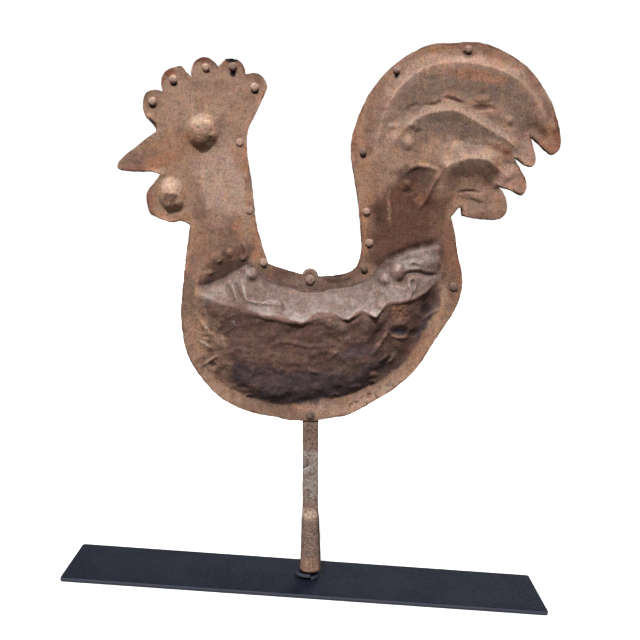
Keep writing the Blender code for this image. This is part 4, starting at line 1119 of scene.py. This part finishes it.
def make_socket():
    """Forged socket: a flat neck that grips the strap and opens into a tapered round cup."""
    _, _, low, high = node_in_vane("stem_socket")
    mouth = low[2]
    wide = (high[0] - low[0]) / 2
    strap = node_in_vane("stem_strap")[1]
    sides = 72
    outer = socket_outside(mouth, wide, strap[0] / 2, strap[1] / 2)
    bore = [(wide - 2.6, mouth + 0.2), (wide - 2.75, mouth + 1.2), (7.4, -40.0),
            (6.1, -16.0), (3.6, -13.6), (0.0, -13.5)]
    points = [(0.0, 0.0, 3.2)]
    rings = [[0] * sides]
    for half_u, half_y, power, v in outer:
        rings.append(list(range(len(points), len(points) + sides)))
        for k in range(sides):
            angle = 2 * math.pi * k / sides
            c, s = math.cos(angle), math.sin(angle)
            reach = (abs(c / half_u) ** power + abs(s / half_y) ** power) ** (-1 / power)
            points.append((reach * c, reach * s, v))
    for radius, v in bore[:-1]:
        rings.append(list(range(len(points), len(points) + sides)))
        for k in range(sides):
            angle = 2 * math.pi * k / sides
            points.append((radius * math.cos(angle), radius * math.sin(angle), v))
    rings.append([len(points)] * sides)
    points.append((0.0, 0.0, bore[-1][1]))
    polygons = join_rings(rings)
    points = np.array(points)
    shell = len(outer) * sides + 1
    for i in range(1, shell):
        spot = Vector(points[i])
        lump = noise.fractal(spot / 7.0, 0.8, 2.0, 4)
        seam = math.exp(-((math.atan2(spot.y, spot.x) - SOCKET_SEAM_ANGLE) / 0.07) ** 2)
        reach = math.hypot(spot.x, spot.y)
        grow = 1 + (0.28 * lump - SOCKET_SEAM * seam * (spot.z < -8)) / max(reach, 3.0)
        points[i, 0] *= grow
        points[i, 1] *= grow
    made = add_piece("socket_forged", to_world(points), polygons, "vane", "stem_socket")
    # Painted shade down the socket's side towards the tail, the side turned from the light
    across = points[:, 0] / np.maximum(np.hypot(points[:, 0], points[:, 1]), 1.0)
    keep_value(made, "shade", ramp(across, 0.72, 0.95))
    return made


def socket_outside(mouth, wide, half_width, half_thick):
    """Sections from the strap's flat shape to the round mouth: half sizes, power, height."""
    sections = []
    grip_u, grip_y = half_width + NECK_GRIP, half_thick + NECK_GRIP
    for k in range(13):
        t = k / 12
        v = NECK_TOP + (SHOULDER - NECK_TOP) * t
        half_u = grip_u + (SHOULDER_RADIUS - grip_u) * ramp(t, 0.45, 1.0)
        half_y = grip_y + (SHOULDER_RADIUS - grip_y) * ramp(t, 0.0, 1.0)
        power = 5.0 - 3.0 * ramp(t, 0.1, 0.9)
        sections.append((half_u, half_y, power, v))
    count = 44
    for k in range(1, count + 1):
        t = k / count
        v = SHOULDER + (mouth + 1.5 - SHOULDER) * t
        radius = SHOULDER_RADIUS + (wide - SHOULDER_RADIUS) * t ** 0.9
        sections.append((radius, radius, 2.0, v))
    sections.append((wide - 0.35, wide - 0.35, 2.0, mouth + 0.5))
    sections.append((wide - 1.0, wide - 1.0, 2.0, mouth))
    sections.append((wide - 2.0, wide - 2.0, 2.0, mouth))
    return [(float(a), float(b), float(p), float(v)) for a, b, p, v in sections]


def make_ring():
    """Split ring round the foot: one turn of heavy bar, rough, one end riding higher."""
    low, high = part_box("split_ring")
    centre = Vector(((low.x + high.x) / 2, (low.y + high.y) / 2, low.z))
    outer = (high.x - low.x) / 2 / MM
    width, bar = RING_BAR
    inner = outer - width
    rise = (high.z - low.z) / MM - bar
    steps = 150
    start = math.radians(RING_SPLIT + RING_GAP / 2)
    sweep = 2 * math.pi - math.radians(RING_GAP)
    section = rounded_section(inner, outer, bar, 0.9)
    points, rings = [], []
    for k in range(steps + 1):
        angle = start + sweep * k / steps
        lift = rise * k / steps
        rings.append(list(range(len(points), len(points) + len(section))))
        for radius, height in section:
            spot = Vector((radius * math.cos(angle), radius * math.sin(angle), height + lift))
            rough = 0.22 * noise.fractal(spot / 2.6, 0.8, 2.0, 4)
            push = (radius - (inner + outer) / 2) / (outer - inner) * 2
            spot.x += rough * push * math.cos(angle)
            spot.y += rough * push * math.sin(angle)
            spot.z += rough * (1 if height > bar / 2 else -0.2)
            points.append(spot * MM + centre)
    polygons = join_rings(rings) + [rings[0][::-1], rings[-1]]
    return add_piece("ring_forged", points, polygons, "stand", "split_ring")


def rounded_section(inner, outer, height, radius):
    """Closed (radius, height) outline of a bar with rounded corners."""
    corners = [(outer - radius, radius, -90), (outer - radius, height - radius, 0),
               (inner + radius, height - radius, 90), (inner + radius, radius, 180)]
    section = []
    for x, y, first in corners:
        for k in range(5):
            angle = math.radians(first + 90 * k / 4)
            section.append((x + radius * math.cos(angle), y + radius * math.sin(angle)))
    return section


def make_weld():
    """Lumpy bead of weld round the pin's foot."""
    low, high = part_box("weld_bead")
    outer = (high.x - low.x) / 2 / MM
    pin_low, pin_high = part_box("pivot_pin")
    inner = (pin_high.x - pin_low.x) / 2 / MM + 0.05
    top = (high.z - low.z) / MM
    steps, around = 72, 10
    points, rings = [], []
    for k in range(steps):
        angle = 2 * math.pi * k / steps
        ripple = 0.12 * math.sin(14 * angle)
        rings.append(list(range(len(points), len(points) + around)))
        for i in range(around):
            turn = math.pi / 2 * i / (around - 2)
            if i == around - 1:
                radius, height = inner, 0.0
            else:
                radius = inner + (outer - inner) * math.cos(turn)
                height = top * math.sin(turn)
            lump = noise.noise(Vector((radius * math.cos(angle), radius * math.sin(angle), 4)))
            radius += (ripple + 0.15 * lump) * (radius > inner + 0.2)
            points.append((radius * math.cos(angle) * MM, radius * math.sin(angle) * MM,
                           low.z + height * MM - 0.0002))
    polygons = join_rings([*rings, rings[0]])
    return add_piece("weld_laid", points, polygons, "stand", "weld_bead")


def make_plate():
    """Flat bar with rolled, slightly uneven edges and soft corners."""
    low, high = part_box("base_plate")
    bm = bmesh.new()
    bmesh.ops.create_cube(bm, size=1.0)
    bmesh.ops.scale(bm, vec=high - low, verts=bm.verts)
    bmesh.ops.translate(bm, vec=(low + high) / 2, verts=bm.verts)
    upright = [e for e in bm.edges if abs(e.verts[0].co.z - e.verts[1].co.z) > 0.001]
    bmesh.ops.bevel(bm, geom=upright, offset=PLATE_CORNER, segments=6, profile=0.5,
                    affect="EDGES")
    flat = [e for e in bm.edges if abs(e.verts[0].co.z - e.verts[1].co.z) < 1e-6
            and len(e.link_faces) == 2]
    bmesh.ops.bevel(bm, geom=flat, offset=PLATE_EDGE, segments=4, profile=0.5, affect="EDGES")
    return place_piece(bpy.data.meshes.new("plate_bar"), bm, "stand", "base_plate")


# ------------------------------------------------------------------ finishes


def new_finish(name):
    """A new material with its node tree and main shader."""
    made = bpy.data.materials.new(name)
    made.use_nodes = True
    tree = made.node_tree
    return made, tree, tree.nodes["Principled BSDF"]


def surface_point(tree, stretch=(1, 1, 1)):
    """The piece's own coordinates, which move with it."""
    place = tree.nodes.new("ShaderNodeTexCoord")
    if stretch == (1, 1, 1):
        return place.outputs["Object"]
    mapping = tree.nodes.new("ShaderNodeMapping")
    mapping.inputs["Scale"].default_value = stretch
    tree.links.new(place.outputs["Object"], mapping.inputs["Vector"])
    return mapping.outputs["Vector"]


def grain(tree, point, size_mm, detail=4.0, roughness=0.6, distortion=0.0):
    """Noise of a given lump size, as a value from 0 to 1."""
    made = tree.nodes.new("ShaderNodeTexNoise")
    made.inputs["Scale"].default_value = 1.0 / (size_mm * MM)
    made.inputs["Detail"].default_value = detail
    made.inputs["Roughness"].default_value = roughness
    made.inputs["Distortion"].default_value = distortion
    tree.links.new(point, made.inputs["Vector"])
    return made.outputs["Fac"]


def colour_grain(tree, point, size_mm, detail=2.0):
    """Noise whose three colours wander apart, each round a middle grey."""
    value = grain(tree, point, size_mm, detail, 0.6)
    return value.node.outputs["Color"]


def window(tree, value, low, high, out_low=0.0, out_high=1.0):
    """Map a value from one range to another, clamped."""
    made = tree.nodes.new("ShaderNodeMapRange")
    made.interpolation_type = "SMOOTHSTEP"
    made.inputs["From Min"].default_value = low
    made.inputs["From Max"].default_value = high
    made.inputs["To Min"].default_value = out_low
    made.inputs["To Max"].default_value = out_high
    tree.links.new(value, made.inputs["Value"])
    return made.outputs["Result"]


def times(tree, first, second):
    return arithmetic(tree, "MULTIPLY", first, second)


def plus(tree, first, second):
    return arithmetic(tree, "ADD", first, second)


def arithmetic(tree, operation, first, second):
    """A math node on two sockets or numbers."""
    made = tree.nodes.new("ShaderNodeMath")
    made.operation = operation
    for socket, value in zip(made.inputs, (first, second)):
        if isinstance(value, (int, float)):
            socket.default_value = value
        else:
            tree.links.new(value, socket)
    return made.outputs["Value"]


def layer(tree, below, colour, factor, mode="MIX"):
    """Lay a colour over another by a factor; colours are RGB tuples or sockets."""
    made = tree.nodes.new("ShaderNodeMix")
    made.data_type = "RGBA"
    made.blend_type = mode
    for socket, value in ((made.inputs[6], below), (made.inputs[7], colour)):
        if isinstance(value, tuple):
            socket.default_value = (*value, 1.0)
        else:
            tree.links.new(value, socket)
    if isinstance(factor, (int, float)):
        made.inputs[0].default_value = factor
    else:
        tree.links.new(factor, made.inputs[0])
    return made.outputs[2]


def mask(tree, name):
    """A number kept on the piece, as a socket."""
    made = tree.nodes.new("ShaderNodeAttribute")
    made.attribute_name = name
    return made.outputs["Fac"]


def relief_bump(tree, shader, heights, distance_mm, strength):
    """Fine relief from (socket, weight) pairs."""
    total = None
    for value, weight in heights:
        part = times(tree, value, weight)
        total = part if total is None else plus(tree, total, part)
    made = tree.nodes.new("ShaderNodeBump")
    made.inputs["Distance"].default_value = distance_mm * MM
    made.inputs["Strength"].default_value = strength
    tree.links.new(total, made.inputs["Height"])
    tree.links.new(made.outputs["Normal"], shader.inputs["Normal"])


def sheet_finish():
    """Old rust on hammered sheet iron: the painted tone, broken up by grain and stains."""
    made, tree, shader = new_finish("rusted_sheet_finish")
    point = surface_point(tree)
    blotch = grain(tree, point, 14, 5, 0.65)
    streak = grain(tree, surface_point(tree, (1.0, 1.0, 0.22)), 4.5, 4)
    speckle = grain(tree, point, 2.6, 3, 0.7)
    fine = grain(tree, point, 1.5, 2, 0.6)
    paint = tree.nodes.new("ShaderNodeAttribute")
    paint.attribute_name = "paint"
    shine = mask(tree, "shine")
    colour = layer(tree, paint.outputs["Color"], (0.78, 0.75, 0.73),
                   window(tree, blotch, 0.50, 0.66), "MULTIPLY")
    colour = layer(tree, colour, (1.20, 1.12, 1.06), window(tree, streak, 0.50, 0.66),
                   "MULTIPLY")
    colour = layer(tree, colour, colour_grain(tree, point, 9), 0.12, "OVERLAY")
    colour = layer(tree, colour, colour_grain(tree, point, 3.4), 0.08, "OVERLAY")
    colour = layer(tree, colour, (0.78, 0.73, 0.71), window(tree, speckle, 0.50, 0.64),
                   "MULTIPLY")
    colour = layer(tree, colour, (1.20, 1.18, 1.16), window(tree, fine, 0.50, 0.38),
                   "MULTIPLY")
    colour = layer(tree, colour, (0.78, 0.74, 0.72), window(tree, fine, 0.52, 0.64),
                   "MULTIPLY")
    tree.links.new(colour, shader.inputs["Base Color"])
    gloss = plus(tree, times(tree, shine, 0.8), times(tree, speckle, 0.25))
    tree.links.new(window(tree, gloss, 0.0, 1.0, 0.84, 0.42), shader.inputs["Roughness"])
    shader.inputs["Specular IOR Level"].default_value = 0.28
    relief_bump(tree, shader, [(speckle, 0.5), (fine, 0.4), (blotch, 0.7)], 0.6, 0.7)
    return made


def iron_finish(name, main, second, spot, size_mm, roughness):
    """Rusted solid iron in two browns with a third colour in spots."""
    made, tree, shader = new_finish(name)
    point = surface_point(tree)
    broad = grain(tree, point, size_mm * 3, 4)
    speckle = grain(tree, point, size_mm, 3, 0.7)
    fine = grain(tree, point, 1.5, 2, 0.6)
    colour = layer(tree, main, second, window(tree, broad, 0.40, 0.62))
    colour = layer(tree, colour, spot, times(tree, window(tree, speckle, 0.50, 0.62), 0.8))
    colour = layer(tree, colour, colour_grain(tree, point, 3.4), 0.25, "OVERLAY")
    colour = layer(tree, colour, (1.2, 1.18, 1.16), window(tree, fine, 0.50, 0.38),
                   "MULTIPLY")
    colour = layer(tree, colour, (0.68, 0.62, 0.60), window(tree, fine, 0.52, 0.64),
                   "MULTIPLY")
    tree.links.new(colour, shader.inputs["Base Color"])
    tree.links.new(window(tree, speckle, 0.3, 0.7, roughness - 0.1, roughness + 0.1),
                   shader.inputs["Roughness"])
    relief_bump(tree, shader, [(speckle, 0.6), (fine, 0.6)], 0.7, 0.8)
    return made, tree, shader, colour, point


def under(tree, point, low, high):
    """1 below one height and 0 above another, in world metres at rest."""
    return arithmetic(tree, "SUBTRACT", 1.0, height_mask(tree, point, low, high))


def height_mask(tree, point, low, high):
    """0 below one height and 1 above another, in world metres at rest."""
    split = tree.nodes.new("ShaderNodeSeparateXYZ")
    tree.links.new(point, split.inputs["Vector"])
    return window(tree, split.outputs["Z"], low, high)


def pitted(tree, colour, point):
    """Small dark pits and light grains, as cast over a finish."""
    fine = grain(tree, point, 1.9, 3, 0.6)
    colour = layer(tree, colour, (0.62, 0.55, 0.53), window(tree, fine, 0.50, 0.62), "MULTIPLY")
    return layer(tree, colour, (1.22, 1.20, 1.18), window(tree, fine, 0.50, 0.38), "MULTIPLY")


def strap_finish():
    """Brown rust near the body, then a cream patch, grey mottling and brown again."""
    made, tree, shader, colour, point = iron_finish(
        "strap_iron_finish", (0.27, 0.170, 0.132), (0.33, 0.22, 0.170), (0.20, 0.12, 0.09),
        3.2, 0.78)
    mottle = window(tree, grain(tree, point, 7.0, 6, 0.75, 0.8), 0.40, 0.56)
    cream = times(tree, height_mask(tree, point, 0.133, 0.138),
                  under(tree, point, 0.142, 0.148))
    grey = times(tree, height_mask(tree, point, 0.084, 0.094),
                 under(tree, point, 0.132, 0.140))
    colour = layer(tree, colour, (0.50, 0.44, 0.375), times(tree, times(tree, mottle, cream), 0.9))
    colour = layer(tree, colour, (0.44, 0.39, 0.345), times(tree, times(tree, mottle, grey), 0.85))
    foot = under(tree, point, 0.078, 0.086)
    colour = layer(tree, colour, (0.48, 0.35, 0.245), times(tree, foot, 0.6))
    colour = pitted(tree, colour, point)
    tree.links.new(colour, shader.inputs["Base Color"])
    return made


def socket_finish():
    """Speckled brown, cream where it grips the strap, orange at the mouth, with painted shade down
    the side towards the tail.
    """
    made, tree, shader, colour, point = iron_finish(
        "socket_iron_finish", (0.315, 0.215, 0.170), (0.265, 0.185, 0.152),
        (0.34, 0.22, 0.16), 3.6, 0.80)
    mottle = window(tree, grain(tree, point, 3.4, 5, 0.7, 0.6), 0.40, 0.60)
    neck = height_mask(tree, point, 0.067, 0.074)
    colour = layer(tree, colour, (0.56, 0.41, 0.285), times(tree, times(tree, mottle, neck), 0.9))
    mouth = under(tree, point, 0.022, 0.032)
    rust = times(tree, window(tree, grain(tree, point, 3.0, 4, 0.7), 0.42, 0.56), mouth)
    colour = layer(tree, colour, (0.52, 0.275, 0.175), times(tree, rust, 0.75))
    # Painted shade on the side towards the tail
    colour = layer(tree, colour, (0.36, 0.32, 0.32), mask(tree, "shade"), "MULTIPLY")
    colour = pitted(tree, colour, point)
    tree.links.new(colour, shader.inputs["Base Color"])
    return made


def rivet_finish():
    """Rubbed brown heads, each in its own tone."""
    made, tree, shader, colour, _ = iron_finish(
        "rivet_iron_finish", (0.56, 0.365, 0.285), (0.46, 0.285, 0.215), (0.62, 0.42, 0.34),
        2.6, 0.70)
    tone = tree.nodes.new("ShaderNodeAttribute")
    tone.attribute_name = "tone"
    colour = layer(tree, colour, tone.outputs["Color"], 1.0, "MULTIPLY")
    tree.links.new(colour, shader.inputs["Base Color"])
    return made


def paint_finish():
    """Blue-black paint, slightly scuffed, with a painted highlight: lighter blue-grey on every face
    that stands upright.
    """
    made, tree, shader = new_finish("black_paint_finish")
    point = surface_point(tree)
    broad = grain(tree, point, 60, 3)
    speckle = grain(tree, point, 4.0, 4, 0.6)
    fine = grain(tree, point, 0.9, 3, 0.6)
    colour = layer(tree, (0.0050, 0.0076, 0.0175), (0.0080, 0.0110, 0.0225),
                   window(tree, broad, 0.40, 0.62))
    fleck = window(tree, grain(tree, point, 9.0, 3, 0.7), 0.635, 0.675)
    colour = layer(tree, colour, (0.003, 0.0035, 0.006), fleck)
    scuff = times(tree, window(tree, speckle, 0.60, 0.72), window(tree, broad, 0.45, 0.60))
    colour = layer(tree, colour, (0.045, 0.050, 0.066), times(tree, scuff, 0.5))
    # Painted highlight: faces that stand upright, such as the plate's edges, are made lighter
    normal = tree.nodes.new("ShaderNodeNewGeometry")
    split = tree.nodes.new("ShaderNodeSeparateXYZ")
    tree.links.new(normal.outputs["Normal"], split.inputs["Vector"])
    sideways = arithmetic(tree, "SUBTRACT", 1.0,
                          window(tree, arithmetic(tree, "ABSOLUTE", split.outputs["Z"], 0.0),
                                 0.35, 0.9))
    colour = layer(tree, colour, (0.092, 0.096, 0.128), times(tree, sideways, 0.9))
    tree.links.new(colour, shader.inputs["Base Color"])
    tree.links.new(window(tree, speckle, 0.3, 0.7, 0.60, 0.74), shader.inputs["Roughness"])
    shader.inputs["Specular IOR Level"].default_value = 0.10
    relief_bump(tree, shader, [(speckle, 0.5), (fine, 0.3)], 0.12, 0.5)
    return made


def pin_finish():
    """Dull drawn steel with faint rings."""
    made, tree, shader = new_finish("bare_steel_finish")
    point = surface_point(tree)
    rings = grain(tree, surface_point(tree, (0.05, 0.05, 1.0)), 0.5, 2)
    speckle = grain(tree, point, 2.0, 4)
    colour = layer(tree, (0.46, 0.45, 0.44), (0.30, 0.26, 0.23),
                   window(tree, speckle, 0.45, 0.68))
    tree.links.new(colour, shader.inputs["Base Color"])
    tree.links.new(window(tree, rings, 0.3, 0.7, 0.32, 0.48), shader.inputs["Roughness"])
    shader.inputs["Metallic"].default_value = 0.9
    relief_bump(tree, shader, [(rings, 0.4), (speckle, 0.3)], 0.05, 0.4)
    return made


# ------------------------------------------------------------------ studio


CAMERA_YAW = math.radians(-0.49)
CAMERA_PITCH = math.radians(6.95)
CAMERA_ROLL = math.radians(4.21)
CAMERA_LENS = 55.69
CAMERA_SENSOR = 36.0


def add_camera():
    """The photographer's view of the stand, a little from above and rolled."""
    yaw, pitch, roll = CAMERA_YAW, CAMERA_PITCH, CAMERA_ROLL
    ahead = Vector((-math.sin(yaw) * math.cos(pitch), math.cos(yaw) * math.cos(pitch),
                    -math.sin(pitch)))
    right = Vector((math.cos(yaw), math.sin(yaw), 0.0))
    up = right.cross(ahead)
    right_rolled = right * math.cos(roll) + up * math.sin(roll)
    up_rolled = up * math.cos(roll) - right * math.sin(roll)
    turn = Matrix((right_rolled, up_rolled, -ahead)).transposed().to_4x4()
    data = bpy.data.cameras.new("camera")
    data.lens = CAMERA_LENS
    data.sensor_width = CAMERA_SENSOR
    data.clip_start = 0.01
    data.clip_end = 100.0
    camera = bpy.data.objects.new("camera", data)
    camera.matrix_world = Matrix.Translation(CAMERA_PLACE) @ turn
    bpy.context.scene.collection.objects.link(camera)
    bpy.context.scene.camera = camera


def add_sun(name, azimuth, elevation, strength, spread):
    """A distant soft light; azimuth 0 shines from in front and 90 from the tail's side."""
    data = bpy.data.lights.new(name, "SUN")
    data.energy = strength
    data.angle = math.radians(spread)
    light = bpy.data.objects.new(name, data)
    turn, rise = math.radians(azimuth), math.radians(elevation)
    source = Vector((math.sin(turn) * math.cos(rise), -math.cos(turn) * math.cos(rise),
                     math.sin(rise)))
    light.rotation_euler = source.to_track_quat("Z", "Y").to_euler()
    bpy.context.scene.collection.objects.link(light)


def add_world():
    """Soft studio surround: bright overhead, dim below, a little brighter behind."""
    world = bpy.data.worlds.new("studio")
    bpy.context.scene.world = world
    world.use_nodes = True
    tree = world.node_tree
    place = tree.nodes.new("ShaderNodeTexCoord")
    split = tree.nodes.new("ShaderNodeSeparateXYZ")
    tree.links.new(place.outputs["Generated"], split.inputs["Vector"])
    rise = window(tree, split.outputs["Z"], -0.35, 0.8, 0.05, 0.50)
    behind = window(tree, split.outputs["Y"], 0.0, 1.0, 1.0, 1.7)
    tree.links.new(times(tree, rise, behind), tree.nodes["Background"].inputs["Strength"])
    tree.nodes["Background"].inputs["Color"].default_value = (1.0, 1.0, 1.0, 1.0)


def plain_finish(name, colour, glow):
    """A pale glowing surface for the studio."""
    finish, tree, shader = new_finish(name)
    shade = layer(tree, tuple(0.97 * c for c in colour), colour,
                  grain(tree, surface_point(tree), 300, 2))
    tree.links.new(shade, shader.inputs["Base Color"])
    shader.inputs["Roughness"].default_value = 0.9
    shader.inputs["Specular IOR Level"].default_value = 0.0
    shader.inputs["Emission Color"].default_value = (1.0, 1.0, 1.0, 1.0)
    shader.inputs["Emission Strength"].default_value = glow
    return finish


def add_stage_piece(name, points, faces, finish):
    """Something pale that only the camera sees, so it throws no light on the object."""
    mesh = bpy.data.meshes.new(name)
    mesh.from_pydata(points, [], faces)
    mesh.materials.append(finish)
    piece = bpy.data.objects.new(name, mesh)
    bpy.context.scene.collection.objects.link(piece)
    piece.visible_diffuse = False
    piece.visible_glossy = False
    return piece


def add_floor_and_surround():
    """White floor and surround that only the camera sees."""
    reach, height, sides = 12.0, 14.0, 48
    corners = [(-reach, -reach, 0), (reach, -reach, 0), (reach, reach, 0), (-reach, reach, 0)]
    add_stage_piece("floor", corners, [(0, 1, 2, 3)],
                    plain_finish("pale_floor", (0.92, 0.92, 0.92), 0.45))
    angles = [2 * math.pi * k / sides for k in range(sides)]
    points = [(reach * math.cos(a), reach * math.sin(a), z) for z in (0.0, height)
              for a in angles]
    faces = [(k, (k + 1) % sides, sides + (k + 1) % sides, sides + k) for k in range(sides)]
    surround = add_stage_piece("surround", points, faces,
                               plain_finish("pale_surround", (0.1, 0.1, 0.1), 1.0))
    surround.visible_shadow = False


def build_studio():
    """Camera, soft surround and two lights."""
    bpy.context.scene.view_settings.view_transform = "Standard"
    add_camera()
    add_world()
    add_floor_and_surround()
    add_sun("key", -15, 54, 2.75, 3.0)
    add_sun("back_fill", 165, 45, 0.7, 20.0)


def dress(piece, finish):
    """Give a piece its only finish."""
    piece.data.materials.clear()
    piece.data.materials.append(finish)


def build():
    """Studio first, then every piece with its finish."""
    build_studio()
    sheet = sheet_finish()
    rivet_iron = rivet_finish()
    paint = paint_finish()
    dress(make_skin("front_skin", -1, "front_sheet", 3), sheet)
    dress(make_skin("rear_skin", 1, "rear_sheet", 8), sheet)
    for seed, node in enumerate(RIVET_NODES):
        dress(make_rivet(node, seed), rivet_iron)
    dress(make_strap(), strap_finish())
    dress(make_socket(), socket_finish())
    dress(make_ring(), paint)
    dress(make_weld(), paint)
    dress(make_plate(), paint)
    dress(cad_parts["pivot_pin"], pin_finish())


build()
